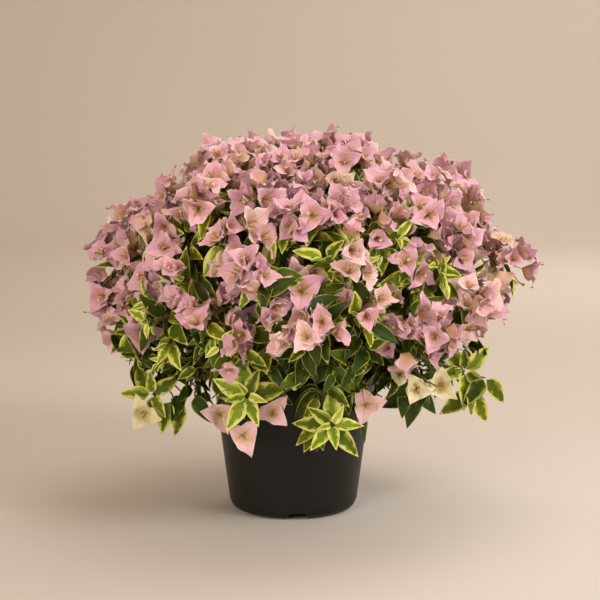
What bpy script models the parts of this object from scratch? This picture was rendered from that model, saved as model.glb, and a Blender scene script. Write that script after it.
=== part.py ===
"""Bougainvillea bush in its nursery pot.

A low, wide dome of cream-edged leaves and pale pink bracts grows from one short trunk in a
round black pot, and a few shoots hang over the pot's rim.

Metres, +Z up. The pot's axis is the Z axis, its underside lies at z = 0, and the bush is seen
from its front along +Y, with +X to the right.

Every sub-part is one closed body: the pot, its soil, the trunk, the boughs and, at each bough's
tip, one mass of foliage. The masses share the crown out between them: each keeps to the space
that is nearer to its own middle than to any other, so no two of them meet.
"""

import math
import random

import bmesh
import bpy
from mathutils import Vector
from mathutils.bvhtree import BVHTree

# ---------------------------------------------------------------- driving dimensions

GAP = 0.0003                        # left between pieces that rest on each other
GOLDEN_ANGLE = math.pi * (3.0 - math.sqrt(5.0))
SEED = 7
CURVE_PULL = 0.38                   # how far a curve holds its first and last direction

# Pot: a round 25 cm, 7.5 litre nursery pot
POT_HEIGHT = 0.208
POT_RIM_RADIUS = 0.125
POT_BASE_RADIUS = 0.0985            # where the wall meets the rounded foot
POT_WALL = 0.0025
POT_FLOOR = 0.003
RIM_BAND_HEIGHT = 0.024
RIM_BAND_STEP = 0.0045              # how far the band stands out from the wall
LIP_ROUNDING = 0.0012
MOUTH_DRAFT = 0.0005                # the mouth is this much wider than the wall below it
FOOT_ROUNDING = 0.012
FOOT_ARC_STEPS = 3
POT_SIDES = 40
POT_SHARP = math.radians(35.0)      # edges that turn more than this are drawn sharp
NOTCH_COUNT = 4                     # drain notches through the pot's foot
NOTCH_FIRST = math.radians(-85.0)   # the front one is a little right of the middle
NOTCH_WIDTH_LOW = 0.032
NOTCH_WIDTH_HIGH = 0.023
NOTCH_HEIGHT = 0.0075
NOTCH_REACH_IN = 0.020
SOIL_BELOW_RIM = 0.022
SOIL_CROWN = 0.004                  # the soil's middle stands this much above its edge
SOIL_SHRUNK = 0.0012                # dry soil draws back this far from the wall
SOIL_LEVEL = POT_HEIGHT - SOIL_BELOW_RIM

# Trunk: short, forking just above the pot
TRUNK_FOOT = SOIL_LEVEL + SOIL_CROWN + GAP
TRUNK_TOP = 0.305
TRUNK_FOOT_RADIUS = 0.0125
TRUNK_TOP_RADIUS = 0.0080
TRUNK_LEAN = Vector((0.014, 0.004, 0.0))
TRUNK_UPRIGHT = 0.012               # the foot stands straight this far, then leans
TRUNK_SIDES = 12
TRUNK_RINGS = 7
FLARE_HEIGHT = 0.018
FLARE_RADIUS = 0.0065               # added to the foot by the root flare
FLARE_LOBES = 5
BARK_SHARP = math.radians(60.0)

# Boughs: one tapering limb to each mass of foliage
BOUGH_FOOT_RADIUS = 0.0042
BOUGH_TIP_RADIUS = 0.0024
BOUGH_SIDES = 6
BOUGH_STEPS = 3
HANGING_BOUGHS_FROM = 0.203         # heights on the trunk where the boughs leave it
HANGING_BOUGHS_APART = 0.011        # every other one of these leaves it this much higher
DOME_BOUGHS_FROM = 0.226
DOME_BOUGHS_TO = 0.297
ARCH_RADIUS = 0.148                 # where the arching boughs end, outside and above the rim
ARCH_ABOVE_RIM = 0.032
ARCH_SHORT_OF_SPRAY = 0.070

# Crown: a dome around a heart that lies a little right of the pot's axis
CROWN_HEART = Vector((0.020, 0.0, 0.330))
CROWN_HALF_WIDTH = 0.345
CROWN_HALF_DEPTH = 0.325
CROWN_RISE = 0.262
SKIRT_HEIGHT = 0.186                # the dome's lowest leaves
SKIRT_DROOP = 0.020                 # and how far their tips may hang below that
CORE_SHARE = 0.36                   # the boughs end at this share of the crown's reach
CORE_MARGIN = 0.06                  # kept bare just outside the boughs' ends
KNOT_SHARE = 0.62                   # the foliage stems end at this share
OUTER_SHARE = 1.05                  # and the furthest leaf tips at this one
SPRAY_SPREAD = 1.4                  # a hanging spray's foliage stays in this many half widths
RIM_CLEARANCE = 0.008
# Where the crown swells or dips: azimuth, elevation and spread in degrees, then metres
CROWN_LOBES = (
    ("left tip", 180.0, 10.0, 14.0, 0.016),
    ("left shoulder", 180.0, 26.0, 12.0, 0.018),
    ("left dip", 180.0, 41.0, 12.0, -0.040),
    ("right dip", 0.0, 58.0, 10.0, -0.030),
    ("right tip", 0.0, 10.0, 14.0, 0.026),
    ("right hollow", 0.0, -17.0, 11.0, -0.032),
    ("back dip", 100.0, 48.0, 14.0, -0.022),
    ("back shoulder", 70.0, 20.0, 16.0, 0.012),
)

# Foliage: how the crown is shared out
DOME_MASSES = 13
DOME_LOWEST = math.radians(-14.0)   # elevations of the lowest and highest mass
DOME_HIGHEST = math.radians(80.0)
DOME_SHOOTS = 154                   # shoots that reach the dome's outside
SHOOTS_LOWEST = math.radians(-36.0)
SHOOTS_HIGHEST = math.radians(86.0)
SHOOT_SHARES = (0.98, 0.87, 0.95)   # how far out the shoots end, in turn
HANGING_SHOOTS = 6
SHORT_SHOOT = 0.6                   # every other hanging shoot is this much of the full length
HANGING_SHIFT = 0.008               # and the ring of them stands out from its middle by this
MARGIN = 0.0006                     # each mass stays this far inside its space

# Foliage: stems and twigs
STEM_SIDES = 5
STEM_STEPS = 3
STEM_RADIUS = 0.0022
STEM_RISE = 0.02                    # a stem bends up as it grows, or down in a hanging spray
STEM_FALL = -0.05
FIRST_NODE = 0.30                   # the first and last shoots leave the stem at these shares
LAST_NODE = 0.97
TWIG_SIDES = 3
TWIG_STEPS = 2
TWIG_RADIUS = 0.0017

# Foliage: leaves and blooms, each standing for a few real ones
LEAF_LENGTH = 0.084
LEAF_WIDTH = 0.054
LEAF_THICKNESS = 0.0030
LEAF_WIDEST = 0.42                  # share of its length where a leaf is widest
LEAF_TIP_DROP = 0.008
LEAF_PLACES = (0.88, 0.68, 0.46)    # where leaves leave a shoot, as shares of its length
LEAF_TRIES = 8
BLOOM_RADIUS = 0.049                # out to the bracts' tips
BLOOM_NOTCH = 0.030                 # and to the notches between them
BLOOM_THICKNESS = 0.0050
BLOOM_CUP = 0.010                   # how far the tips bend forward
BLOOM_SEAT = 0.002                  # a shoot's point reaches this far into its bloom
BLOOM_TRIES = 6
BLOSSOM = 0.88                      # share of the dome's shoots that end in a bloom
LEAF, BRACT, TWIG = 0, 1, 2         # the materials of a mass

# Shoots that hang over the rim: azimuth, radius and height of the middle of the spray, its half
# width, and the share of its shoots that bloom
HANGING_SPRAYS = (
    ("left", 180.0, 0.203, 0.182, 0.060, 0.3),
    ("right", -4.0, 0.262, 0.188, 0.060, 0.1),
    ("front_left", -112.0, 0.172, 0.181, 0.058, 0.7),
    ("front_right", -68.0, 0.173, 0.160, 0.056, 0.2),
    ("lower_right", -34.0, 0.200, 0.196, 0.050, 0.5),
    ("back_left", 128.0, 0.185, 0.178, 0.058, 0.5),
    ("back_right", 58.0, 0.190, 0.172, 0.058, 0.4),
)


# ---------------------------------------------------------------- scene and materials

def clear_scene():
    for item in list(bpy.data.objects):
        bpy.data.objects.remove(item, do_unlink=True)


def principled(name, colour, roughness, metallic=0.0):
    """A plain Principled material, which is enough for the solids."""
    material = bpy.data.materials.new(name)
    material.use_nodes = True
    material.diffuse_color = (*colour, 1.0)
    shader = material.node_tree.nodes["Principled BSDF"]
    shader.inputs["Base Color"].default_value = (*colour, 1.0)
    shader.inputs["Roughness"].default_value = roughness
    shader.inputs["Metallic"].default_value = metallic
    return material


def add_object(name, bm, *materials):
    """Turn a bmesh into an object in the scene, with its faces pointing out."""
    bmesh.ops.recalc_face_normals(bm, faces=bm.faces[:])
    mesh = bpy.data.meshes.new(name)
    bm.to_mesh(mesh)
    bm.free()
    for material in materials:
        mesh.materials.append(material)
    item = bpy.data.objects.new(name, mesh)
    bpy.context.scene.collection.objects.link(item)
    return item


def make_cutter(item):
    item.hide_render = True
    item.display_type = "WIRE"
    return item


def cut(item, cutter):
    """Take a cutter away from an object."""
    modifier = item.modifiers.new("cut by " + cutter.name, "BOOLEAN")
    modifier.operation = "DIFFERENCE"
    modifier.solver = "EXACT"
    modifier.object = cutter


# ---------------------------------------------------------------- curves and limbs

def lerp(start, end, share):
    return start + (end - start) * share


def heading(azimuth, elevation):
    """Unit vector from two angles in radians; azimuth 0 is +X and pi / 2 is +Y."""
    flat = math.cos(elevation)
    return Vector((flat * math.cos(azimuth), flat * math.sin(azimuth), math.sin(elevation)))


def bend(start, leave, end, arrive, steps):
    """Points on one smooth curve that leaves start along leave and meets end along arrive."""
    pull = (end - start).length * CURVE_PULL
    first = start + leave.normalized() * pull
    second = end - arrive.normalized() * pull
    points = []
    for step in range(steps + 1):
        t = step / steps
        s = 1.0 - t
        points.append(start * s**3 + first * (3 * s * s * t) + second * (3 * s * t * t) + end * t**3)
    return points


def tube(bm, path, radii, sides, radius_at=None):
    """A closed tapering tube along a path; radius_at can swell it by ring and angle."""
    tangent = (path[1] - path[0]).normalized()
    normal = tangent.orthogonal().normalized()
    rings = []
    for index, centre in enumerate(path):
        before = path[max(index - 1, 0)]
        after = path[min(index + 1, len(path) - 1)]
        turned = (after - before).normalized()
        normal.rotate(tangent.rotation_difference(turned))
        tangent = turned
        across = tangent.cross(normal)
        ring = []
        for side in range(sides):
            angle = math.tau * side / sides
            radius = radii[index]
            if radius_at:
                radius += radius_at(index, angle)
            offset = normal * math.cos(angle) + across * math.sin(angle)
            ring.append(bm.verts.new(centre + offset * radius))
        rings.append(ring)
    bm.faces.new(reversed(rings[0]))
    bm.faces.new(rings[-1])
    for low, high in zip(rings, rings[1:]):
        for side in range(sides):
            beside = (side + 1) % sides
            bm.faces.new((low[side], low[beside], high[beside], high[side]))


def tapered(start, end, count):
    return [lerp(start, end, index / (count - 1)) for index in range(count)]


# ---------------------------------------------------------------- pot and soil

def wall_radius(height):
    """The pot's outer radius at a height between its rounded foot and its rim band."""
    top = POT_HEIGHT - RIM_BAND_HEIGHT
    share = (height - FOOT_ROUNDING) / (top - FOOT_ROUNDING)
    return lerp(POT_BASE_RADIUS, POT_RIM_RADIUS - RIM_BAND_STEP, share)


def foot_arc(centre_radius, centre_height, radius):
    """Radius and height of points round the foot, from its flat underside up to the wall."""
    points = []
    for step in range(FOOT_ARC_STEPS + 1):
        angle = math.radians(-90.0 + 90.0 * step / FOOT_ARC_STEPS)
        points.append((centre_radius + radius * math.cos(angle), centre_height + radius * math.sin(angle)))
    return points


def pot_profile():
    """The pot's section, from the middle of its underside round to the middle of its floor."""
    band = POT_HEIGHT - RIM_BAND_HEIGHT
    rim = POT_RIM_RADIUS
    inside = rim - RIM_BAND_STEP - POT_WALL + MOUTH_DRAFT
    outer = foot_arc(POT_BASE_RADIUS - FOOT_ROUNDING, FOOT_ROUNDING, FOOT_ROUNDING)
    outer += [
        (wall_radius(band), band),
        (rim - LIP_ROUNDING, band + LIP_ROUNDING),
        (rim, POT_HEIGHT - LIP_ROUNDING),
        (rim - LIP_ROUNDING, POT_HEIGHT),
        (inside, POT_HEIGHT),
        (wall_radius(band) - POT_WALL, band),
    ]
    inner_rounding = FOOT_ROUNDING - POT_WALL
    inner = foot_arc(POT_BASE_RADIUS - FOOT_ROUNDING, POT_FLOOR + inner_rounding, inner_rounding)
    return outer + inner[::-1]


def spin_profile(name, profile, material):
    """A closed round body: a section from axis to axis, turned about Z."""
    bm = bmesh.new()
    low = [(0.0, profile[0][1])] + list(profile) + [(0.0, profile[-1][1])]
    verts = [bm.verts.new((radius, 0.0, height)) for radius, height in low]
    edges = [bm.edges.new(pair) for pair in zip(verts, verts[1:])]
    bmesh.ops.spin(
        bm, geom=verts + edges, cent=(0.0, 0.0, 0.0), axis=(0.0, 0.0, 1.0),
        angle=math.tau, steps=POT_SIDES, use_merge=True, use_duplicate=False,
    )
    bmesh.ops.remove_doubles(bm, verts=bm.verts[:], dist=0.00001)
    return add_object(name, bm, material)


def notch_cutter(angle):
    """A wedge with sloping sides that opens one drain notch in the foot."""
    bm = bmesh.new()
    near = POT_BASE_RADIUS - NOTCH_REACH_IN
    far = POT_BASE_RADIUS + NOTCH_REACH_IN
    below = -NOTCH_HEIGHT
    low_half = NOTCH_WIDTH_LOW / 2.0
    high_half = NOTCH_WIDTH_HIGH / 2.0
    spread = low_half + (low_half - high_half) * (-below / NOTCH_HEIGHT)
    section = ((-spread, below), (spread, below), (high_half, NOTCH_HEIGHT), (-high_half, NOTCH_HEIGHT))
    ends = []
    for radius in (near, far):
        ends.append([bm.verts.new((radius, across, height)) for across, height in section])
    bm.faces.new(ends[0])
    bm.faces.new(reversed(ends[1]))
    for side in range(4):
        beside = (side + 1) % 4
        bm.faces.new((ends[0][side], ends[1][side], ends[1][beside], ends[0][beside]))
    cutter = make_cutter(add_object("notch_cutter", bm))
    cutter.rotation_euler.z = angle
    return cutter


def make_pot(material):
    pot = spin_profile("pot", pot_profile(), material)
    for notch in range(NOTCH_COUNT):
        cut(pot, notch_cutter(NOTCH_FIRST + math.tau * notch / NOTCH_COUNT))
    pot.data.shade_smooth()
    pot.data.set_sharp_from_angle(angle=POT_SHARP)
    return pot


def make_soil(material):
    """The soil fills the pot to just below its rim, a little higher round the trunk."""
    inner_rounding = FOOT_ROUNDING - POT_WALL
    profile = foot_arc(
        POT_BASE_RADIUS - FOOT_ROUNDING - GAP, POT_FLOOR + inner_rounding + GAP, inner_rounding,
    )
    edge = wall_radius(SOIL_LEVEL) - POT_WALL - SOIL_SHRUNK
    profile += [
        (edge, SOIL_LEVEL),
        (edge * 0.7, SOIL_LEVEL + SOIL_CROWN * 0.6),
        (edge * 0.35, SOIL_LEVEL + SOIL_CROWN),
    ]
    return spin_profile("soil", profile, material)


# ---------------------------------------------------------------- trunk and boughs

def trunk_axis(height):
    """The middle of the leaning trunk at a height."""
    bent_from = TRUNK_FOOT + TRUNK_UPRIGHT
    share = max(0.0, height - bent_from) / (TRUNK_TOP - bent_from)
    return Vector((TRUNK_LEAN.x * share**1.4, TRUNK_LEAN.y * share, height))


def trunk_body(extra):
    """The trunk's bmesh, made fatter all over by extra."""
    bm = bmesh.new()
    heights = [lerp(TRUNK_FOOT, TRUNK_TOP, (ring / (TRUNK_RINGS - 1))**1.3) for ring in range(TRUNK_RINGS)]
    path = [trunk_axis(height) for height in heights]
    radii = [radius + extra for radius in tapered(TRUNK_FOOT_RADIUS, TRUNK_TOP_RADIUS, TRUNK_RINGS)]

    def flare(ring, angle):
        low = max(0.0, 1.0 - (heights[ring] - TRUNK_FOOT) / FLARE_HEIGHT)
        return FLARE_RADIUS * low**1.5 * (0.6 + 0.4 * math.cos(FLARE_LOBES * angle))

    tube(bm, path, radii, TRUNK_SIDES, flare)
    return bm


def make_trunk(material):
    trunk = add_object("trunk", trunk_body(0.0), material)
    trunk.data.shade_smooth()
    trunk.data.set_sharp_from_angle(angle=BARK_SHARP)
    return trunk


def make_bough(mass, material, trunk_clearance):
    """One tapering limb from inside the trunk's line to the foliage, cut off at the bark."""
    bm = bmesh.new()
    radii = tapered(BOUGH_FOOT_RADIUS, BOUGH_TIP_RADIUS, len(mass["bough_path"]))
    tube(bm, mass["bough_path"], radii, BOUGH_SIDES)
    bough = add_object(mass["bough"], bm, material)
    cut(bough, trunk_clearance)
    bough.data.shade_smooth()
    bough.data.set_sharp_from_angle(angle=BARK_SHARP)
    return bough


# ---------------------------------------------------------------- the crown's shape and its spaces

def crown_reach(direction):
    """How far the dome's outside lies from the crown's heart in a direction."""
    across = math.hypot(direction.x / CROWN_HALF_WIDTH, direction.y / CROWN_HALF_DEPTH)
    reach = 1.0 / math.hypot(across, direction.z / CROWN_RISE)
    for _name, azimuth, elevation, spread, metres in CROWN_LOBES:
        towards = heading(math.radians(azimuth), math.radians(elevation))
        off = math.degrees(direction.angle(towards))
        reach += metres * math.exp(-((off / spread)**2))
    if direction.z < 0.0:
        reach = min(reach, (CROWN_HEART.z - SKIRT_HEIGHT) / -direction.z)
    return reach


def spiral(count, lowest, highest):
    """Directions spread evenly between two elevations, a golden angle apart."""
    directions = []
    for index in range(count):
        share = (index + 0.5) / count
        rise = lerp(math.sin(lowest), math.sin(highest), share)
        directions.append(heading(index * GOLDEN_ANGLE, math.asin(rise)))
    return directions


def dome_mass(index, direction):
    """A mass in the dome: its bough leaves the trunk higher up for each next one."""
    foot = trunk_axis(lerp(DOME_BOUGHS_FROM, DOME_BOUGHS_TO, index / (DOME_MASSES - 1)))
    reach = crown_reach(direction)
    throat = CROWN_HEART + direction * reach * CORE_SHARE
    knot = CROWN_HEART + direction * reach * KNOT_SHARE
    leave = (throat - foot).normalized() + Vector((direction.x, direction.y, 0.1))
    arrive = direction + Vector((0, 0, 0.25))
    return {
        "name": f"foliage_{index + 1:02d}",
        "bough": f"bough_{index + 1:02d}",
        "hangs": False,
        "middle": knot,
        "blossom": BLOSSOM,
        "bough_path": bend(foot, leave, throat, arrive, BOUGH_STEPS),
    }


def hanging_mass(index, name, azimuth, radius, height, size, blossom):
    """A spray that hangs outside the pot, from a bough that arches over the rim."""
    angle = math.radians(azimuth)
    outward = heading(angle, 0.0)
    foot = trunk_axis(HANGING_BOUGHS_FROM + HANGING_BOUGHS_APART * (index % 2))
    middle = outward * radius + Vector((0, 0, height))
    throat = outward * max(ARCH_RADIUS, radius - ARCH_SHORT_OF_SPRAY)
    throat.z = POT_HEIGHT + ARCH_ABOVE_RIM
    leave = outward + Vector((0, 0, 0.9))
    arrive = outward + Vector((0, 0, -0.8))
    return {
        "name": f"spray_{name}",
        "bough": f"bough_{name}",
        "hangs": True,
        "middle": middle,
        "size": size,
        "blossom": blossom,
        "bough_path": bend(foot, leave, throat, arrive, BOUGH_STEPS + 1),
    }


def plan_masses():
    """Every mass with its bough's path, the flat sides of its space and room for its shoots."""
    masses = [hanging_mass(index, *spray) for index, spray in enumerate(HANGING_SPRAYS)]
    for index, direction in enumerate(spiral(DOME_MASSES, DOME_LOWEST, DOME_HIGHEST)):
        masses.append(dome_mass(index, direction))
    for mass in masses:
        mass["tips"] = []
        mass["sides"] = []
        for other in masses:
            if other is not mass:
                across = other["middle"] - mass["middle"]
                mass["sides"].append(((mass["middle"] + other["middle"]) / 2.0, across.normalized()))
    return masses


def in_space(mass, point):
    """True where a point lies in a mass's own space, with its margin."""
    return all((point - halfway).dot(across) < -MARGIN for halfway, across in mass["sides"])


def in_crown(mass, point):
    """True where foliage may be: off the pot, outside the boughs' core and inside the outline."""
    from_axis = math.hypot(point.x, point.y)
    if point.z < POT_HEIGHT + RIM_CLEARANCE and from_axis < POT_RIM_RADIUS + RIM_CLEARANCE:
        return False
    if mass["hangs"]:
        if point.z < mass["middle"].z - mass["size"]:
            return False
        if (point - mass["middle"]).length < mass["size"] * SPRAY_SPREAD:
            return True
    offset = point - CROWN_HEART
    share = offset.length / crown_reach(offset.normalized())
    return CORE_SHARE + CORE_MARGIN < share < OUTER_SHARE and point.z > SKIRT_HEIGHT - SKIRT_DROOP


# ---------------------------------------------------------------- foliage

def leaf_body(base, along, face, scale):
    """A leaf of six faces: a flat pointed blade that is ridged along its upper side."""
    bm = bmesh.new()
    along = along.normalized()
    across = along.cross(face).normalized()
    face = across.cross(along)
    widest = base + along * LEAF_LENGTH * scale * LEAF_WIDEST
    half = across * (LEAF_WIDTH * scale / 2.0)
    heel = bm.verts.new(base)
    tip = bm.verts.new(base + along * LEAF_LENGTH * scale - face * LEAF_TIP_DROP)
    left = bm.verts.new(widest + half)
    right = bm.verts.new(widest - half)
    ridge = bm.verts.new(widest + face * LEAF_THICKNESS)
    for edge in (left, right):
        bm.faces.new((heel, edge, ridge))
        bm.faces.new((edge, tip, ridge))
    bm.faces.new((heel, left, right))
    bm.faces.new((left, tip, right))
    return bm


def bloom_body(centre, face, turn, scale):
    """Three pointed bracts as one star of ten faces, cupped towards its face."""
    bm = bmesh.new()
    face = face.normalized()
    side = face.orthogonal().normalized()
    upright = face.cross(side)
    rim = []
    for corner in range(6):
        is_tip = corner % 2 == 0
        angle = turn + math.tau * corner / 6.0
        out = side * math.cos(angle) + upright * math.sin(angle)
        radius = BLOOM_RADIUS if is_tip else BLOOM_NOTCH
        lift = BLOOM_CUP if is_tip else 0.0
        rim.append(bm.verts.new(centre + out * radius * scale + face * lift))
    top = bm.verts.new(centre + face * BLOOM_THICKNESS)
    for corner in range(6):
        bm.faces.new((rim[corner], rim[(corner + 1) % 6], top))
    for corner in (0, 2, 4):
        bm.faces.new((rim[corner - 1], rim[corner], rim[corner + 1]))
    bm.faces.new((rim[1], rim[3], rim[5]))
    return bm


def twig_body(path):
    """A three-sided twig that runs out to a point."""
    bm = bmesh.new()
    tube(bm, path, tapered(TWIG_RADIUS, TWIG_RADIUS * 0.5, len(path)), TWIG_SIDES)
    bmesh.ops.pointmerge(bm, verts=list(bm.verts)[-TWIG_SIDES:], merge_co=path[-1])
    return bm


class Spray:
    """Gathers the pieces of one mass, and skips each that would leave its space."""

    def __init__(self, mass, limbs, materials):
        self.mass = mass
        self.limbs = limbs
        self.materials = materials
        self.taken = []
        self.pieces = bpy.data.collections.new("pieces of " + mass["name"])
        bpy.context.scene.collection.children.link(self.pieces)

    def fits(self, bm, own):
        for vert in bm.verts:
            if not in_space(self.mass, vert.co) or not in_crown(self.mass, vert.co):
                return False
        tree = BVHTree.FromBMesh(bm)
        if tree.overlap(self.limbs):
            return False
        return not any(tree.overlap(other) for shoot, other in self.taken if shoot != own)

    def add(self, bm, material_index, own=None, must=False):
        """Keep a piece; own is the shoot that it is allowed to touch."""
        if not must and not self.fits(bm, own):
            bm.free()
            return False
        self.taken.append((own if must else None, BVHTree.FromBMesh(bm)))
        for face in bm.faces:
            face.material_index = material_index
        piece = add_object("piece", bm, *self.materials)
        bpy.context.scene.collection.objects.unlink(piece)
        self.pieces.objects.link(piece)
        return True

    def fuse(self):
        """Join all pieces into one closed body and tidy away the rest."""
        pieces = list(self.pieces.objects)
        body = pieces[0]
        self.pieces.objects.unlink(body)
        bpy.context.scene.collection.objects.link(body)
        body.name = self.mass["name"]
        body.data.name = self.mass["name"]
        union = body.modifiers.new("fuse", "BOOLEAN")
        union.operation = "UNION"
        union.operand_type = "COLLECTION"
        union.collection = self.pieces
        union.solver = "EXACT"
        evaluated = body.evaluated_get(bpy.context.evaluated_depsgraph_get())
        fused = bpy.data.meshes.new_from_object(evaluated)
        body.modifiers.clear()
        body.data = fused
        for piece in pieces[1:]:
            bpy.data.objects.remove(piece, do_unlink=True)
        bpy.data.collections.remove(self.pieces)
        keep_one_body(fused)
        return body


def keep_one_body(mesh):
    """Drop loose scraps and fill sealed hollows, so that only the largest shell is left."""
    bm = bmesh.new()
    bm.from_mesh(mesh)
    bmesh.ops.triangulate(bm, faces=bm.faces[:])
    unseen = set(bm.verts)
    shells = []
    while unseen:
        shell = []
        border = [unseen.pop()]
        while border:
            vert = border.pop()
            shell.append(vert)
            for edge in vert.link_edges:
                other = edge.other_vert(vert)
                if other in unseen:
                    unseen.remove(other)
                    border.append(other)
        shells.append(shell)
    shells.sort(key=len)
    for shell in shells[:-1]:
        bmesh.ops.delete(bm, geom=shell, context="VERTS")
    bm.to_mesh(mesh)
    bm.free()


def point_on(path, share):
    """A point and the direction of travel at a share of the way along a path."""
    place = share * (len(path) - 1)
    index = min(int(place), len(path) - 2)
    start, end = path[index], path[index + 1]
    return start.lerp(end, place - index), (end - start).normalized()


def any_way(dice, spread):
    """A random lean in any direction."""
    return Vector([dice.uniform(-spread, spread) for _axis in range(3)])


def tip_of_shoot(spray, number, path, outward, dice):
    """A bloom at a shoot's tip, or a leaf where there is no room for one."""
    tip, along = point_on(path, 1.0)
    if dice.random() < spray.mass["blossom"]:
        for attempt in range(BLOOM_TRIES):
            face = outward + along * 0.3 + any_way(dice, 0.55 - 0.05 * attempt)
            centre = tip - face.normalized() * BLOOM_SEAT
            bloom = bloom_body(centre, face, dice.random() * math.tau, 1.0 - 0.05 * attempt)
            if spray.add(bloom, BRACT, own=number):
                return
    for _attempt in range(LEAF_TRIES // 2):
        face = outward + any_way(dice, 0.8)
        blade = leaf_body(tip - along * LEAF_THICKNESS, along + any_way(dice, 0.4), face, 1.0)
        if spray.add(blade, LEAF, own=number):
            return


def sides_of_shoot(spray, number, path, outward, dice):
    """Leaves up both sides of a shoot, or turned in to the mass's middle where room is short."""
    for index, share in enumerate(LEAF_PLACES):
        place, along = point_on(path, share)
        side = along.cross(outward).normalized()
        if (index + number) % 2:
            side = -side
        for attempt in range(LEAF_TRIES):
            lean = along * dice.uniform(0.1, 0.8) + outward * dice.uniform(-0.3, 0.5)
            inward = (spray.mass["middle"] - place).normalized()
            turned = side if attempt % 2 == 0 else any_way(dice, 1.0) + inward * 0.12 * attempt
            face = outward + Vector((0, 0, 0.3)) + any_way(dice, 0.6)
            scale = dice.uniform(0.9, 1.05) - 0.03 * attempt
            if spray.add(leaf_body(place, turned + lean, face, scale), LEAF, own=number):
                break


def dome_tips(masses):
    """Give each shoot of the dome to the mass whose middle is nearest to its tip."""
    for index, direction in enumerate(spiral(DOME_SHOOTS, SHOOTS_LOWEST, SHOOTS_HIGHEST)):
        share = SHOOT_SHARES[index % len(SHOOT_SHARES)]
        tip = CROWN_HEART + direction * crown_reach(direction) * share
        owner = min(masses, key=lambda mass: (mass["middle"] - tip).length)
        owner["tips"].append((tip, direction))


def hanging_tips(mass):
    """A ring of shoots round the middle of a hanging spray, every other one a short one."""
    up = Vector((0, 0, 1))
    outward = Vector((mass["middle"].x, mass["middle"].y, 0.0)).normalized()
    across = outward.cross(up)
    for shoot in range(HANGING_SHOOTS):
        angle = math.tau * (shoot + 0.5) / HANGING_SHOOTS
        length = 1.0 if shoot % 2 else SHORT_SHOOT
        offset = (across * math.cos(angle) + up * math.sin(angle)) * length
        tip = mass["middle"] + offset * mass["size"] + outward * HANGING_SHIFT
        mass["tips"].append((tip, (outward + offset * 0.5).normalized()))


def grow_stem(mass):
    """The path of a mass's stem: straight on from its bough's tip, then up or down."""
    throat = mass["bough_path"][-1]
    arrive = (throat - mass["bough_path"][-2]).normalized()
    start = throat + arrive * GAP
    turn = STEM_FALL if mass["hangs"] else STEM_RISE
    middle = mass["middle"]
    stem = bend(start, arrive, middle, (middle - start) + Vector((0, 0, turn)), STEM_STEPS)
    stem[1] = start + arrive * (stem[1] - start).length
    return stem


def grow_mass(mass, limbs, materials, dice):
    """One stem from the bough's tip, shoots that leave it in turn, and what grows on them."""
    spray = Spray(mass, limbs, materials)
    stem = grow_stem(mass)
    body = bmesh.new()
    tube(body, stem, tapered(STEM_RADIUS, TWIG_RADIUS, len(stem)), STEM_SIDES)
    spray.add(body, TWIG, must=True)
    stem_way = (stem[-1] - stem[0]).normalized()
    shoots = []
    for number, (tip, outward) in enumerate(mass["tips"]):
        # the more a shoot turns aside, the lower on the stem it starts
        straight_on = (tip - stem[0]).normalized().dot(stem_way)
        node, along = point_on(stem, min(LAST_NODE, max(FIRST_NODE, straight_on * 1.6 - 0.62)))
        leave = along + (tip - node).normalized()
        shoot = bend(node, leave, tip, outward + along * 0.3, TWIG_STEPS)
        twig = twig_body(shoot)
        if all(in_space(mass, vert.co) for vert in twig.verts):
            spray.add(twig, TWIG, own=number, must=True)
            shoots.append((number, shoot, outward))
        else:
            twig.free()
    for shoot in shoots:
        tip_of_shoot(spray, *shoot, dice)
    for shoot in shoots:
        sides_of_shoot(spray, *shoot, dice)
    return spray.fuse()


# ---------------------------------------------------------------- assembly

def limbs_tree(items):
    """One tree of the surfaces that foliage has to stay clear of."""
    graph = bpy.context.evaluated_depsgraph_get()
    bm = bmesh.new()
    for item in items:
        mesh = bpy.data.meshes.new_from_object(item.evaluated_get(graph))
        bm.from_mesh(mesh)
        bpy.data.meshes.remove(mesh)
    tree = BVHTree.FromBMesh(bm)
    bm.free()
    return tree


def main():
    clear_scene()
    plastic = principled("black pot plastic", (0.018, 0.016, 0.014), 0.42)
    earth = principled("potting soil", (0.060, 0.038, 0.024), 0.95)
    bark = principled("bark", (0.20, 0.125, 0.070), 0.85)
    leaf_green = principled("cream-edged leaf", (0.16, 0.26, 0.05), 0.45)
    bract_pink = principled("pink bract", (0.72, 0.38, 0.46), 0.60)
    young_bark = principled("young bark", (0.23, 0.19, 0.08), 0.75)

    pot = make_pot(plastic)
    soil = make_soil(earth)
    trunk = make_trunk(bark)
    masses = plan_masses()
    trunk_clearance = make_cutter(add_object("trunk_clearance", trunk_body(GAP * 1.1)))
    boughs = [make_bough(mass, bark, trunk_clearance) for mass in masses]
    limbs = limbs_tree([pot, soil, trunk] + boughs)
    dome_tips(masses)
    for mass in masses:
        if mass["hangs"]:
            hanging_tips(mass)
    dice = random.Random(SEED)
    for mass in masses:
        grow_mass(mass, limbs, (leaf_green, bract_pink, young_bark), dice)


main()
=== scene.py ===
# %% [markdown]
# # A potted bougainvillea, from the frame to the last flower
#
# The plant is a low, wide dome of cream-edged leaves and papery pink bracts on a short branching
# stem, in a black nursery pot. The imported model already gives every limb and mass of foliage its
# place and reach. This notebook dresses it: each cell makes one thing and prints what it made.

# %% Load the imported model
import math
import random

import bmesh
import bpy
from mathutils import Matrix, Vector, kdtree, noise


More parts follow.
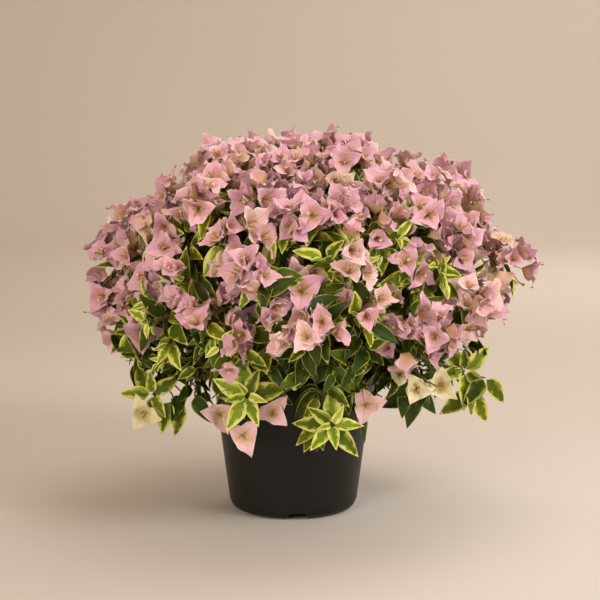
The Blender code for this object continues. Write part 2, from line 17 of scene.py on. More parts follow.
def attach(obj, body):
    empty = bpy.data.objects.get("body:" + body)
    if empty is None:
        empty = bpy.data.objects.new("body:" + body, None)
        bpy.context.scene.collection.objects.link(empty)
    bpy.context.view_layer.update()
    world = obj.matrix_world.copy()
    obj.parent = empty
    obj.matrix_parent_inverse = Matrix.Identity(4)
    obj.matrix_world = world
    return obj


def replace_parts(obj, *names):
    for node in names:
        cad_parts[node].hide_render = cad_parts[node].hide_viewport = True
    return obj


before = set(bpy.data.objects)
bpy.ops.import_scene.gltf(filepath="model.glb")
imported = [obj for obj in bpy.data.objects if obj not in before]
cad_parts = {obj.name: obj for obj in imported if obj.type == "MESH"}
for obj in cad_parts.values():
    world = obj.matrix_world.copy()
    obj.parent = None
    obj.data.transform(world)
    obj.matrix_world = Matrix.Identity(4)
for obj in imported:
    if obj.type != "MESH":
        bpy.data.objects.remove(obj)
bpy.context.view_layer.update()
scene = bpy.context.scene
print("nodes in the packed model:", len(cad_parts))

# %% [markdown]
# ## Camera and studio
#
# The plant stands in a plain studio, seen slightly from above. The camera could track an empty,
# but a rotation worked out once is simpler and has nothing left to go wrong.

# %% Camera
CAMERA_AIM = Vector((0.0104, 0.0, 0.3211))
CAMERA_AWAY = 2.6
CAMERA_DOWN = math.radians(8.5)
CAMERA_LENS, CAMERA_SENSOR = 102.0, 36.0


def look_at(item, place, aim):
    """Put an object at a place with its -Z axis towards the aim."""
    item.location = place
    item.rotation_euler = (aim - place).to_track_quat("-Z", "Y").to_euler()


camera = bpy.data.objects.new("camera", bpy.data.cameras.new("camera"))
scene.collection.objects.link(camera)
camera.data.lens = CAMERA_LENS
camera.data.sensor_width = CAMERA_SENSOR
camera.data.clip_end = 30.0
way_back = Vector((0.0, -math.cos(CAMERA_DOWN), math.sin(CAMERA_DOWN)))
look_at(camera, CAMERA_AIM + way_back * CAMERA_AWAY, CAMERA_AIM)
scene.camera = camera
scene.view_settings.view_transform = "Standard"
print("camera at", [round(value, 3) for value in camera.location])

# %% [markdown]
# Most pieces are built as a bmesh and shown in finishes of one plain colour. A few short helpers do
# that, so that the cells below only say what is particular to their piece.

# %% Helpers for colours and pieces


def from_hex(code):
    """A linear colour from the hex code that a paint card would give."""
    parts = [int(code[start:start + 2], 16) / 255.0 for start in (1, 3, 5)]
    return [part / 12.92 if part < 0.04045 else ((part + 0.055) / 1.055) ** 2.4 for part in parts]


def plain_finish(name, code, roughness, **sockets):
    """A Principled material of one colour; other sockets are given by name, with _ for a space."""
    material = bpy.data.materials.new(name)
    material.use_nodes = True
    shader = material.node_tree.nodes["Principled BSDF"]
    shader.inputs["Base Color"].default_value = (*from_hex(code), 1.0)
    shader.inputs["Roughness"].default_value = roughness
    for socket, value in sockets.items():
        shader.inputs[socket.replace("_", " ")].default_value = value
    material.diffuse_color = (*from_hex(code), 1.0)
    return material


def settled(name, bm):
    """The mesh that a bmesh turns into."""
    mesh = bpy.data.meshes.new(name)
    bm.to_mesh(mesh)
    bm.free()
    return mesh


def shown(name, mesh, *materials):
    """An object at the origin that shows a mesh in the given finishes."""
    for material in materials:
        mesh.materials.append(material)
    item = bpy.data.objects.new(name, mesh)
    scene.collection.objects.link(item)
    return item


def mesh_object(name, bm, *materials):
    """Turn a bmesh into an object that lies at the origin."""
    return shown(name, settled(name, bm), *materials)


print("a mid grey in linear light:", [round(part, 3) for part in from_hex("#808080")])

# %% [markdown]
# A pale cove is floor and backdrop in one, and it goes all the way round, so that the plant can be
# looked at from any side. Its section is a line along the floor and up the wall with the corner
# bevelled round, and a spin closes it. A floor plane and a wall would show a seam.

# %% Paper cove
COVE_RADIUS, COVE_HEIGHT, COVE_BEND = 5.2, 2.4, 1.6
paper = bmesh.new()
corners = [
    paper.verts.new(point)
    for point in ((0, 0, 0), (COVE_RADIUS, 0, 0), (COVE_RADIUS, 0, COVE_HEIGHT))
]
for pair in zip(corners, corners[1:]):
    paper.edges.new(pair)
bmesh.ops.bevel(
    paper, geom=[corners[1]], offset=COVE_BEND, segments=20, profile=0.5, affect="VERTICES",
    material=-1,
)
bmesh.ops.spin(
    paper, geom=paper.verts[:] + paper.edges[:], cent=(0, 0, 0), axis=(0, 0, 1), angle=math.tau,
    steps=96, use_merge=True, use_duplicate=False,
)
bmesh.ops.remove_doubles(paper, verts=paper.verts[:], dist=0.0001)
bmesh.ops.recalc_face_normals(paper, faces=paper.faces[:])
cove = mesh_object("paper_cove", paper, plain_finish("studio paper", "#d6d0cb", 0.85))
cove.data.shade_smooth()
print("cove faces:", len(cove.data.polygons))

# %% [markdown]
# Light comes from large soft boxes: the main one high at the front right, a weak one that fills the
# left, one overhead, one behind for the crown's back, and one for the paper. A warm sky all round
# keeps every leaf from falling into black. Sun lamps would cut hard shadows between the leaves.

# %% Soft boxes
SKY_TINT, SKY_STRENGTH = "#f1d0a4", 0.54
SOFT_BOXES = (
    # name, where it stands, what it is aimed at, its size, watts, tint and spread in degrees
    ("main soft box", (2.2, -1.7, 1.9), (0.0, 0.0, 0.3), 1.3, 62.0, "#fffcf8", 180.0),
    ("fill soft box", (-1.5, -2.7, 1.0), (0.0, 0.0, 0.3), 1.6, 5.0, "#fff8ee", 50.0),
    ("top soft box", (0.5, 0.4, 2.7), (0.0, 0.0, 0.3), 1.5, 16.0, "#fffdfa", 180.0),
    ("back soft box", (1.8, 2.4, 2.0), (0.0, 0.0, 0.3), 1.6, 26.0, "#fff6ea", 180.0),
    ("wall soft box", (0.9, 2.4, 2.6), (1.0, 5.2, 0.9), 2.0, 24.0, "#fff8f0", 150.0),
)
for name, place, aim, size, watts, code, spread in SOFT_BOXES:
    lamp = bpy.data.lights.new(name, "AREA")
    lamp.spread = math.radians(spread)
    lamp.size = size
    lamp.energy = watts
    lamp.color = from_hex(code)
    item = bpy.data.objects.new(name, lamp)
    scene.collection.objects.link(item)
    look_at(item, Vector(place), Vector(aim))
world = bpy.data.worlds.new("pale sky")
world.use_nodes = True
sky = world.node_tree.nodes["Background"]
sky.inputs["Color"].default_value = (*from_hex(SKY_TINT), 1.0)
sky.inputs["Strength"].default_value = SKY_STRENGTH
scene.world = world
print("soft boxes:", len(SOFT_BOXES))

# %% [markdown]
# ## Finishes that vary over a surface
#
# Moulded plastic, potting mix and bark are all mottled: two tones that drift into each other, and
# a fine relief. One node group makes that mottling, and each material gives it its own tones and
# grain. Its outputs feed the shader in the material itself.

# %% Mottling group


def mottling_group():
    """Two tones mixed by a slow noise that also gives the drift, and a finer noise for relief."""
    group = bpy.data.node_groups.new("Mottling", "ShaderNodeTree")
    for title, kind, value in (
        ("Dark tone", "NodeSocketColor", (0.02, 0.02, 0.02, 1.0)),
        ("Light tone", "NodeSocketColor", (0.05, 0.05, 0.05, 1.0)),
        ("Patch scale", "NodeSocketFloat", 20.0),
        ("Grain scale", "NodeSocketFloat", 400.0),
        ("Stretch", "NodeSocketVector", (1.0, 1.0, 1.0)),
    ):
        group.interface.new_socket(title, in_out="INPUT", socket_type=kind).default_value = value
    for title, kind in (
        ("Colour", "NodeSocketColor"), ("Drift", "NodeSocketFloat"), ("Relief", "NodeSocketFloat"),
    ):
        group.interface.new_socket(title, in_out="OUTPUT", socket_type=kind)
    node = group.nodes.new
    join = group.links.new
    given, made = node("NodeGroupInput"), node("NodeGroupOutput")
    place, stretched = node("ShaderNodeTexCoord"), node("ShaderNodeVectorMath")
    stretched.operation = "MULTIPLY"
    join(place.outputs["Object"], stretched.inputs[0])
    join(given.outputs["Stretch"], stretched.inputs[1])
    patches, grain = node("ShaderNodeTexNoise"), node("ShaderNodeTexNoise")
    for texture, socket, detail in ((patches, "Patch scale", 6.0), (grain, "Grain scale", 3.0)):
        texture.inputs["Detail"].default_value = detail
        join(stretched.outputs[0], texture.inputs["Vector"])
        join(given.outputs[socket], texture.inputs["Scale"])
    tones = node("ShaderNodeMix")
    tones.data_type = "RGBA"
    join(patches.outputs["Fac"], tones.inputs["Factor"])
    join(given.outputs["Dark tone"], tones.inputs["A"])
    join(given.outputs["Light tone"], tones.inputs["B"])
    join(tones.outputs["Result"], made.inputs["Colour"])
    join(patches.outputs["Fac"], made.inputs["Drift"])
    join(grain.outputs["Fac"], made.inputs["Relief"])
    return group


MOTTLING = mottling_group()
print("group sockets:", len(MOTTLING.interface.items_tree))

# %% Mottled materials


def mottled_finish(
    name, dark, light, patch, grain, rough, relief, stretch=(1.0, 1.0, 1.0), specular=0.5,
):
    """A material whose tone, roughness and fine relief all come from the mottling group.

    patch and grain are the two noises' scales, rough the least and most roughness, and relief the
    bump's depth in metres.
    """
    material = bpy.data.materials.new(name)
    material.use_nodes = True
    nodes, join = material.node_tree.nodes, material.node_tree.links.new
    shader = nodes["Principled BSDF"]
    shader.inputs["Specular IOR Level"].default_value = specular
    mottle = nodes.new("ShaderNodeGroup")
    mottle.node_tree = MOTTLING
    mottle.inputs["Dark tone"].default_value = (*from_hex(dark), 1.0)
    mottle.inputs["Light tone"].default_value = (*from_hex(light), 1.0)
    mottle.inputs["Patch scale"].default_value = patch
    mottle.inputs["Grain scale"].default_value = grain
    mottle.inputs["Stretch"].default_value = stretch
    join(mottle.outputs["Colour"], shader.inputs["Base Color"])
    spread = nodes.new("ShaderNodeMapRange")
    spread.inputs["To Min"].default_value = rough[0]
    spread.inputs["To Max"].default_value = rough[1]
    join(mottle.outputs["Drift"], spread.inputs["Value"])
    join(spread.outputs["Result"], shader.inputs["Roughness"])
    bump = nodes.new("ShaderNodeBump")
    bump.inputs["Distance"].default_value = relief
    join(mottle.outputs["Relief"], bump.inputs["Height"])
    join(bump.outputs["Normal"], shader.inputs["Normal"])
    material.diffuse_color = (*from_hex(light), 1.0)
    return material


plastic = mottled_finish(
    "black moulded plastic", "#0c0a07", "#14110d", 9.0, 1400.0, (0.36, 0.52), 0.00006, specular=0.32,
)
mix = mottled_finish("potting mix", "#1c130d", "#4b3626", 90.0, 700.0, (0.8, 1.0), 0.0012)
chip = mottled_finish("bark chip", "#3a271a", "#7a5a3e", 120.0, 900.0, (0.7, 0.95), 0.0006)
bark = mottled_finish(
    "furrowed bark", "#4f3f2f", "#8d7a62", 60.0, 260.0, (0.7, 0.95), 0.0014, (1.0, 1.0, 0.35),
)
print("mottled finishes:", plastic.name, "|", mix.name, "|", chip.name, "|", bark.name)

# %% [markdown]
# ## The pot
#
# A nursery pot is blow-moulded: one thin wall with a band round the rim, a crease where the wall
# meets the rounded foot, and drain notches in the foot. A section that is one line of edges is spun
# about the pot's axis, because every part is round, and the notches are cut out afterwards.

# %% Pot section
POT_HEIGHT = 0.208
RIM_RADIUS = 0.125
BASE_RADIUS = 0.0985
WALL = 0.0025
POT_FLOOR = 0.003
BAND_HEIGHT = 0.024
BAND_STEP = 0.0045
FOOT = 0.012
CREASE = 0.0014
LIP = 0.0011
FILLET = 0.0012
# Heights at which the wall gets a ring of points, so that no face runs up the whole of it
WALL_RINGS = (0.05, 0.09, 0.13, 0.165)
POT_STEPS = 144


def quarter(radius, height, rounding, start, end, steps=5):
    """Points round a quarter of a circle in the section, from one angle to another in degrees."""
    points = []
    for step in range(steps + 1):
        angle = math.radians(start + (end - start) * step / steps)
        points.append((radius + rounding * math.cos(angle), height + rounding * math.sin(angle)))
    return points


def wall_at(height):
    """The wall's outer radius between its foot and its rim band."""
    share = (height - FOOT) / (POT_HEIGHT - BAND_HEIGHT - FOOT)
    return BASE_RADIUS + (RIM_RADIUS - BAND_STEP - BASE_RADIUS) * share


def pot_section():
    """The pot's section, from the middle of its base up the outside and back down the inside."""
    band = POT_HEIGHT - BAND_HEIGHT
    section = [(0.0, 0.0), (BASE_RADIUS - FOOT - 0.02, 0.0)]
    section += quarter(BASE_RADIUS - FOOT, FOOT, FOOT - CREASE, -90, 0, 8)
    section += [(wall_at(FOOT + rise), FOOT + rise) for rise in (FILLET, 0.003)]
    section += [(wall_at(height), height) for height in WALL_RINGS]
    section += quarter(wall_at(band) + FILLET, band - FILLET, -FILLET, 0, -90, 3)
    section += quarter(RIM_RADIUS - LIP, band + LIP, LIP, -90, 0, 4)
    section += quarter(RIM_RADIUS - LIP, POT_HEIGHT - LIP, LIP, 0, 90, 5)
    mouth = RIM_RADIUS - BAND_STEP - WALL + 0.0005
    section += quarter(mouth + LIP, POT_HEIGHT - LIP, LIP, 90, 180, 5)
    section += [(wall_at(height) - WALL, height) for height in (band, 0.13, 0.07)]
    inner = FOOT - WALL
    section += quarter(BASE_RADIUS - FOOT, POT_FLOOR + inner, inner, 0, -90, 4)
    section += [(0.0, POT_FLOOR)]
    return section


print("points in the pot's section:", len(pot_section()))

# %% Spin the pot


def turned(section, steps):
    """A closed round shell: the section's line spun about the Z axis and its seam closed."""
    bm = bmesh.new()
    verts = [bm.verts.new((radius, 0.0, height)) for radius, height in section]
    edges = [bm.edges.new(pair) for pair in zip(verts, verts[1:])]
    bmesh.ops.spin(
        bm, geom=verts + edges, cent=(0.0, 0.0, 0.0), axis=(0.0, 0.0, 1.0), angle=math.tau,
        steps=steps, use_merge=True, use_duplicate=False,
    )
    bmesh.ops.remove_doubles(bm, verts=bm.verts[:], dist=0.00002)
    bmesh.ops.recalc_face_normals(bm, faces=bm.faces[:])
    return bm


pot = mesh_object("pot_shell", turned(pot_section(), POT_STEPS), plastic)
print("pot faces before the notches:", len(pot.data.polygons))

# %% [markdown]
# The drain notches have sloping sides. A cube whose top is drawn in makes one wedge; four of them
# round the foot are taken away with a Boolean, which copes with the rounded foot where a hand-made
# cut would not. The pot is then shaded smooth, but for edges where it turns by 38 degrees or more.

# %% Drain notches
NOTCHES = 4
NOTCH_FIRST = math.radians(-86.0)
# A wedge's width at its foot and top, half its height, and how far in it reaches
NOTCH_LOW, NOTCH_HIGH, NOTCH_TALL, NOTCH_DEEP = 0.045, 0.024, 0.0104, 0.022


def notch_wedge(angle):
    """A wedge across the pot's foot at an angle round its axis."""
    bm = bmesh.new()
    bmesh.ops.create_cube(bm, size=1.0)
    for vert in bm.verts:
        width = NOTCH_LOW if vert.co.z < 0.0 else NOTCH_HIGH
        vert.co.x = BASE_RADIUS + vert.co.x * 2.0 * NOTCH_DEEP
        vert.co.y *= width
        vert.co.z = -NOTCH_TALL if vert.co.z < 0.0 else NOTCH_TALL
    bmesh.ops.rotate(bm, verts=bm.verts[:], matrix=Matrix.Rotation(angle, 3, "Z"))
    return bm


wedges = bmesh.new()
for number in range(NOTCHES):
    wedge = settled("wedge", notch_wedge(NOTCH_FIRST + math.tau * number / NOTCHES))
    wedges.from_mesh(wedge)
    bpy.data.meshes.remove(wedge)
cutter = mesh_object("notch_wedges", wedges)
cut = pot.modifiers.new("drain notches", "BOOLEAN")
cut.operation, cut.solver, cut.object = "DIFFERENCE", "EXACT", cutter
notched = pot.evaluated_get(bpy.context.evaluated_depsgraph_get())
pot.data = bpy.data.meshes.new_from_object(notched)
pot.modifiers.clear()
bpy.data.objects.remove(cutter, do_unlink=True)
pot.data.name = "pot_shell"
pot.data.shade_smooth()
pot.data.set_sharp_from_angle(angle=math.radians(38.0))
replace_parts(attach(pot, "root"), "pot")
print("pot faces with the notches:", len(pot.data.polygons))

# %% [markdown]
# ## The potting mix
#
# The mix fills the pot, stands a little higher round the stem and has a crumbly top with chips of
# bark in it. Its lower edge is cut back, so that a dark hollow lies behind the drain notches. The
# same spin gives its closed body; noise then lifts only the points on top. Loose chips are small
# flattened cubes with their corners moved, because at this size only the corners show.

# %% Mix with a crumbly top
SOIL_LEVEL = POT_HEIGHT - 0.022
SOIL_CROWN = 0.004
SOIL_RINGS = 26
GAP = 0.0003
# How far in from the foot, and how far up the wall, the mix's lower edge is cut back
CUT_IN, CUT_UP = 0.040, 0.030
# Noise scale and height of the coarse and of the fine crumbs, and how far the top settles
COARSE, FINE, SETTLED = (70.0, 0.0022), (240.0, 0.0012), 0.0008


def soil_section():
    """The mix's section, from the middle of its base up the wall and back along its top."""
    edge = wall_at(SOIL_LEVEL) - WALL - 0.0012
    section = [(0.0, POT_FLOOR + GAP), (BASE_RADIUS - CUT_IN, POT_FLOOR + GAP)]
    section.append((wall_at(CUT_UP) - WALL - GAP, CUT_UP))
    for ring in range(SOIL_RINGS + 1):
        share = 1.0 - ring / SOIL_RINGS
        section.append((edge * share, SOIL_LEVEL + SOIL_CROWN * (1.0 - share * share)))
    return section


soil_shape = turned(soil_section(), 96)
for vert in soil_shape.verts:
    flat = math.hypot(vert.co.x, vert.co.y)
    if vert.co.z > SOIL_LEVEL - 0.001 and flat < wall_at(SOIL_LEVEL) - WALL - 0.003:
        crumbs = [noise.noise(vert.co * scale) * height for scale, height in (COARSE, FINE)]
        vert.co.z += sum(crumbs) - SETTLED
soil = mesh_object("potting_mix", soil_shape, mix)
soil.data.shade_smooth()
soil.data.set_sharp_from_angle(angle=math.radians(50.0))
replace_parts(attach(soil, "root"), "soil")
print("potting mix faces:", len(soil.data.polygons))

# %% Chips of bark on the mix
CHIPS = 420
CHIP_BED = 0.108
dice = random.Random(11)
chips = bmesh.new()
for number in range(CHIPS):
    away = CHIP_BED * math.sqrt(dice.random())
    angle = dice.random() * math.tau
    level = SOIL_LEVEL + SOIL_CROWN * (1.0 - (away / 0.116) ** 2)
    size = (dice.uniform(0.003, 0.009), dice.uniform(0.002, 0.005), dice.uniform(0.001, 0.002))
    turn = Matrix.Rotation(dice.random() * math.tau, 4, "Z")
    tilt = Matrix.Rotation(dice.uniform(-0.5, 0.5), 4, "X")
    place = Matrix.Translation((away * math.cos(angle), away * math.sin(angle), level + 0.0004))
    matrix = place @ turn @ tilt @ Matrix.Diagonal((*size, 1.0))
    new = bmesh.ops.create_cube(chips, size=1.0, matrix=matrix)
    for vert in new["verts"]:
        vert.co += Vector([dice.uniform(-0.0006, 0.0006) for _axis in range(3)])
bark_chips = mesh_object("bark_chips", chips, chip)
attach(bark_chips, "root")
print("chips:", CHIPS)

# %% [markdown]
# ## How the crown is shared out
#
# The foliage grows by one rule. A dome with a few swellings and dips gives the crown's reach in
# any direction. Directions a golden angle apart spread points evenly over it. Thirteen of them are
# the middles of the dome's masses, and seven more masses hang over the pot's rim. A bough runs
# from the stem to each mass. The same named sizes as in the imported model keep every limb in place.

# %% Reach of the crown
GOLDEN_ANGLE = math.pi * (3.0 - math.sqrt(5.0))
HEART = Vector((0.020, 0.0, 0.330))
HALF_WIDTH, HALF_DEPTH, RISE = 0.345, 0.325, 0.262
SKIRT = 0.186
# Where the crown swells or dips: azimuth, elevation and spread in degrees, then metres
LOBES = (
    (180.0, 10.0, 14.0, 0.016), (180.0, 26.0, 12.0, 0.018), (180.0, 41.0, 12.0, -0.040),
    (0.0, 58.0, 10.0, -0.030), (0.0, 10.0, 14.0, 0.026), (0.0, -17.0, 11.0, -0.032),
    (100.0, 48.0, 14.0, -0.022), (70.0, 20.0, 16.0, 0.012),
)


def lerp(start, end, share):
    """A value at a share of the way between two others."""
    return start + (end - start) * share


def heading(azimuth, elevation):
    """Unit vector from two angles in radians; azimuth 0 is +X and pi / 2 is +Y."""
    flat = math.cos(elevation)
    return Vector((flat * math.cos(azimuth), flat * math.sin(azimuth), math.sin(elevation)))


def near(direction, azimuth, elevation, spread):
    """1 in the given direction, falling away to 0 over about twice the spread; all in degrees."""
    off = math.degrees(direction.angle(heading(math.radians(azimuth), math.radians(elevation))))
    return math.exp(-((off / spread) ** 2))


def crown_reach(direction):
    """How far the crown reaches from its heart in a direction."""
    across = math.hypot(direction.x / HALF_WIDTH, direction.y / HALF_DEPTH)
    reach = 1.0 / math.hypot(across, direction.z / RISE)
    for azimuth, elevation, spread, metres in LOBES:
        reach += metres * near(direction, azimuth, elevation, spread)
    if direction.z < 0.0:
        reach = min(reach, (HEART.z - SKIRT) / -direction.z)
    return reach


def spiral(count, lowest, highest):
    """Directions spread evenly between two elevations in degrees, a golden angle apart."""
    low, high = math.sin(math.radians(lowest)), math.sin(math.radians(highest))
    return [
        heading(index * GOLDEN_ANGLE, math.asin(lerp(low, high, (index + 0.5) / count)))
        for index in range(count)
    ]


print("reach to the left, right and top:", *[
    round(crown_reach(Vector(way)), 3) for way in ((-1, 0, 0), (1, 0, 0), (0, 0, 1))
])

# %% Stem and boughs
TRUNK_FOOT = SOIL_LEVEL + SOIL_CROWN + GAP
TRUNK_TOP = 0.305
TRUNK_LEAN = Vector((0.014, 0.004, 0.0))
HANGING_SPRAYS = (
    # name, azimuth in degrees, then the middle's distance out, its height and its radius in metres
    ("left", 180.0, 0.203, 0.182, 0.060), ("right", -4.0, 0.262, 0.188, 0.060),
    ("front_left", -112.0, 0.172, 0.181, 0.058), ("front_right", -68.0, 0.173, 0.160, 0.056),
    ("lower_right", -34.0, 0.200, 0.196, 0.050), ("back_left", 128.0, 0.185, 0.178, 0.058),
    ("back_right", 58.0, 0.190, 0.172, 0.058),
)
DOME_MASSES = 13
up = Vector((0.0, 0.0, 1.0))


def trunk_axis(height):
    """The middle of the leaning stem at a height."""
    bent_from = TRUNK_FOOT + 0.012
    share = max(0.0, height - bent_from) / (TRUNK_TOP - bent_from)
    return Vector((TRUNK_LEAN.x * share ** 1.4, TRUNK_LEAN.y * share, height))


def bend(start, leave, end, arrive, steps):
    """Points on a smooth curve that leaves start along leave and meets end along arrive."""
    pull = (end - start).length * 0.38
    first = start + leave.normalized() * pull
    second = end - arrive.normalized() * pull
    points = []
    for step in range(steps + 1):
        t = step / steps
        s = 1.0 - t
        near_start = start * s ** 3 + first * (3 * s * s * t)
        points.append(near_start + second * (3 * s * t * t) + end * t ** 3)
    return points


def plan_masses():
    """Each mass of foliage: the nodes it stands for, its middle and its bough's path."""
    masses = []
    for index, (name, azimuth, radius, height, size) in enumerate(HANGING_SPRAYS):
        outward = heading(math.radians(azimuth), 0.0)
        foot = trunk_axis(0.203 + 0.011 * (index % 2))
        throat = outward * max(0.148, radius - 0.070) + up * (POT_HEIGHT + 0.032)
        path = bend(foot, outward + up * 0.9, throat, outward - up * 0.8, 12)
        masses.append({"node": f"spray_{name}", "bough": f"bough_{name}", "path": path,
                       "middle": outward * radius + up * height, "size": size, "name": name})
    for index, way in enumerate(spiral(DOME_MASSES, -14.0, 80.0)):
        foot = trunk_axis(lerp(0.226, 0.297, index / (DOME_MASSES - 1)))
        throat = HEART + way * crown_reach(way) * 0.36
        knot = HEART + way * crown_reach(way) * 0.62
        leave = (throat - foot).normalized() + Vector((way.x, way.y, 0.1))
        path = bend(foot, leave, throat, way + up * 0.25, 12)
        masses.append({"node": f"foliage_{index + 1:02d}", "bough": f"bough_{index + 1:02d}",
                       "path": path, "middle": knot, "size": 0.0, "name": ""})
    return masses


masses = plan_masses()
for mass in masses:
    middle, throat = mass["middle"], mass["path"][-1]
    onward = (throat - mass["path"][-2]).normalized()
    fall = Vector((0.0, 0.0, -0.05 if mass["size"] else 0.02))
    mass["stem"] = bend(throat, onward, middle, (middle - throat) + fall, 6)
print("masses:", len(masses))

# %% [markdown]
# ## Shoots and twigs
#
# Each mass has one stem. Shoots leave it in turn, the more they turn aside the lower down, and
# from those come finer twigs. A list of paths is all that is needed at this point: the wood is
# made from it, and so are the places where leaves and blooms sit.

# %% Helpers for shoots


def point_on(path, share):
    """A point and the direction of travel at a share of the way along a path."""
    place = share * (len(path) - 1)
    index = min(int(place), len(path) - 2)
    onward = (path[index + 1] - path[index]).normalized()
    return path[index].lerp(path[index + 1], place - index), onward


def any_way(spread):
    """A random lean in any direction."""
    return Vector([dice.uniform(-spread, spread) for _axis in range(3)])


def grow_shoot(mass, tip, outward):
    """A shoot that leaves a mass's stem for a tip, the lower down the more it turns aside."""
    stem = mass["stem"]
    straight_on = (tip - stem[0]).normalized().dot((stem[-1] - stem[0]).normalized())
    node, along = point_on(stem, min(0.97, max(0.30, straight_on * 1.6 - 0.62)))
    path = bend(node, along + (tip - node).normalized(), tip, outward + along * 0.3, 6)
    return {"mass": mass, "path": path, "outward": outward, "twigs": []}


def nearest_mass(tip):
    """The mass whose middle is nearest to a tip."""
    return min(masses, key=lambda mass: (mass["middle"] - tip).length)


print("points in a shoot's path:", len(grow_shoot(masses[0], HEART + up, up)["path"]))

# %% [markdown]
# A bougainvillea's crown isn't a smooth dome. The shoots crowd into clumps with dark gaps between
# them, and a few shoulders stand out from the rest. So each direction is drawn some way towards its
# nearest clump, and a shoot far off its clump's middle is shorter. Noise and a short list of
# shoulders change the reach. Moving finished leaves about would break them off their twigs.

# %% Clumps and shoulders
CLUMPS = 105
CLUMP_HALF = math.radians(9.6)
# How far a direction is drawn to its clump, and how far the clump's middle stands proud, as shares
CLUMP_PULL, CLUMP_PROUD = 0.30, 0.05
SWELL, SWELL_SCALE, SWELL_SHIFT = 0.07, 3.4, Vector((4.0, 1.0, 7.0))
# Seen from the front, the foliage draws in from the dome but for a few shoulders. Each has the
# angle it stands at, counted from the right over the top, its spread in degrees, and metres
DRAWN_IN = 0.038
SHOULDERS = (
    (-20.0, 16.0, 0.034), (40.0, 7.0, 0.036), (65.0, 12.0, 0.020),
    (130.0, 6.0, 0.036), (160.0, 6.0, 0.036), (194.0, 14.0, 0.050),
)


def swelling(way):
    """How far the crown swells or draws in at a direction, as a share of its reach."""
    angle = (math.degrees(math.atan2(way.z, way.x)) + 90.0) % 360.0 - 90.0
    short = DRAWN_IN - sum(
        metres * math.exp(-((angle - middle) / spread) ** 2) for middle, spread, metres in SHOULDERS
    )
    swell = SWELL * noise.noise(way * SWELL_SCALE + SWELL_SHIFT)
    return swell - short / HALF_DEPTH * (1.0 - way.y ** 2)


def gathered(way):
    """A direction drawn towards its clump, and how far off the clump's middle it was, from 0 to 1."""
    middle = min(clump_ways, key=way.angle)
    return way.slerp(middle, CLUMP_PULL), way.angle(middle) / CLUMP_HALF


dice = random.Random(1)
clump_ways = [(way + any_way(0.05)).normalized() for way in spiral(CLUMPS, -34.0, 86.0)]
print("clumps:", len(clump_ways))

# %% Shoots of the dome
DOME_SHOOTS = 154
# Shares of the crown's reach that shoots take in turn, and how much less they reach off a clump
SHOOT_SHARES, SHOOT_FALL = (0.885, 0.79, 0.84), 0.11
shoots = []
for index, way in enumerate(spiral(DOME_SHOOTS, -36.0, 86.0)):
    way, off = gathered(way)
    share = SHOOT_SHARES[index % 3] + swelling(way) + CLUMP_PROUD - SHOOT_FALL * off * off
    tip = HEART + way * crown_reach(way) * share
    shoots.append(grow_shoot(nearest_mass(tip), tip, way))
domed = shoots[:]
print("shoots of the dome:", len(domed))

# %% Clusters on the outline
OUTLINE_ENDS = (
    # across and up, in metres, of clusters that stand out from the dome's outline
    (-0.314, 0.395), (-0.286, 0.452), (-0.190, 0.492), (-0.152, 0.552), (-0.084, 0.571),
    (-0.008, 0.577), (0.058, 0.570), (0.114, 0.570), (0.252, 0.524), (0.266, 0.497),
    (0.302, 0.436), (0.374, 0.384), (0.340, 0.318), (0.290, 0.268), (-0.306, 0.332),
    (-0.300, 0.276), (-0.280, 0.230),
)
# A head of blooms reaches this far past its shoot's tip
BLOOM_DEPTH = 0.046
for across, height in OUTLINE_ENDS:
    tip = Vector((across, dice.uniform(-0.07, 0.04), height))
    way = (tip - HEART).normalized()
    tip -= way * BLOOM_DEPTH
    shoot = grow_shoot(nearest_mass(tip), tip, way)
    shoot["kind"], shoot["limit"] = dice.choice(("mauve", "mauve", "rose")), 1.05
    for share in (0.55, 0.70, 0.82):
        node, along = point_on(shoot["path"], share)
        end = tip - way * dice.uniform(0.004, 0.020) + any_way(0.026)
        shoot["twigs"].append((bend(node, along + way * 0.5, end, way + any_way(0.4), 4), 0.0))
    shoots.append(shoot)
print("shoots with the outline's clusters:", len(shoots))

# %% [markdown]
# The hanging sprays get rings of shoots round their middles. At the front a few ends are known
# one by one, such as the three blooms that hang before the pot, so those are listed by place.

# %% Shoots of the hanging sprays
NAMED_ENDS = (
    # spray, where the shoot ends in metres, what it ends in, and how many leaves in a rosette
    ("front_left", (-0.102, -0.165, 0.182), "blush", 0),
    ("front_left", (-0.069, -0.175, 0.155), "blush", 0),
    ("front_left", (-0.030, -0.170, 0.183), "blush", 0),
    ("front_left", (-0.064, -0.205, 0.215), "fresh", 9),
    ("front_right", (0.056, -0.180, 0.167), "fresh", 9),
    ("front_right", (0.104, -0.150, 0.194), "blush", 0),
    ("front_right", (0.038, -0.165, 0.215), "deep", 4),
    ("front_right", (0.078, -0.160, 0.222), "grown", 5),
    ("lower_right", (0.149, -0.150, 0.236), "cream", 0),
    ("lower_right", (0.174, -0.150, 0.217), "cream", 0),
    ("lower_right", (0.210, -0.140, 0.219), "cream", 0),
    ("lower_right", (0.180, -0.090, 0.200), "deep", 3),
    ("right", (0.262, -0.020, 0.214), "fresh", 6),
    ("right", (0.292, -0.030, 0.206), "grown", 2),
    ("right", (0.272, -0.020, 0.184), "grown", 2),
    ("left", (-0.222, -0.020, 0.152), "cream", 0),
    ("left", (-0.216, -0.020, 0.178), "fresh", 6),
    ("left", (-0.186, -0.030, 0.172), "fresh", 1),
    ("left", (-0.166, -0.030, 0.168), "fresh", 1),
    ("left", (-0.150, -0.040, 0.184), "deep", 1),
)
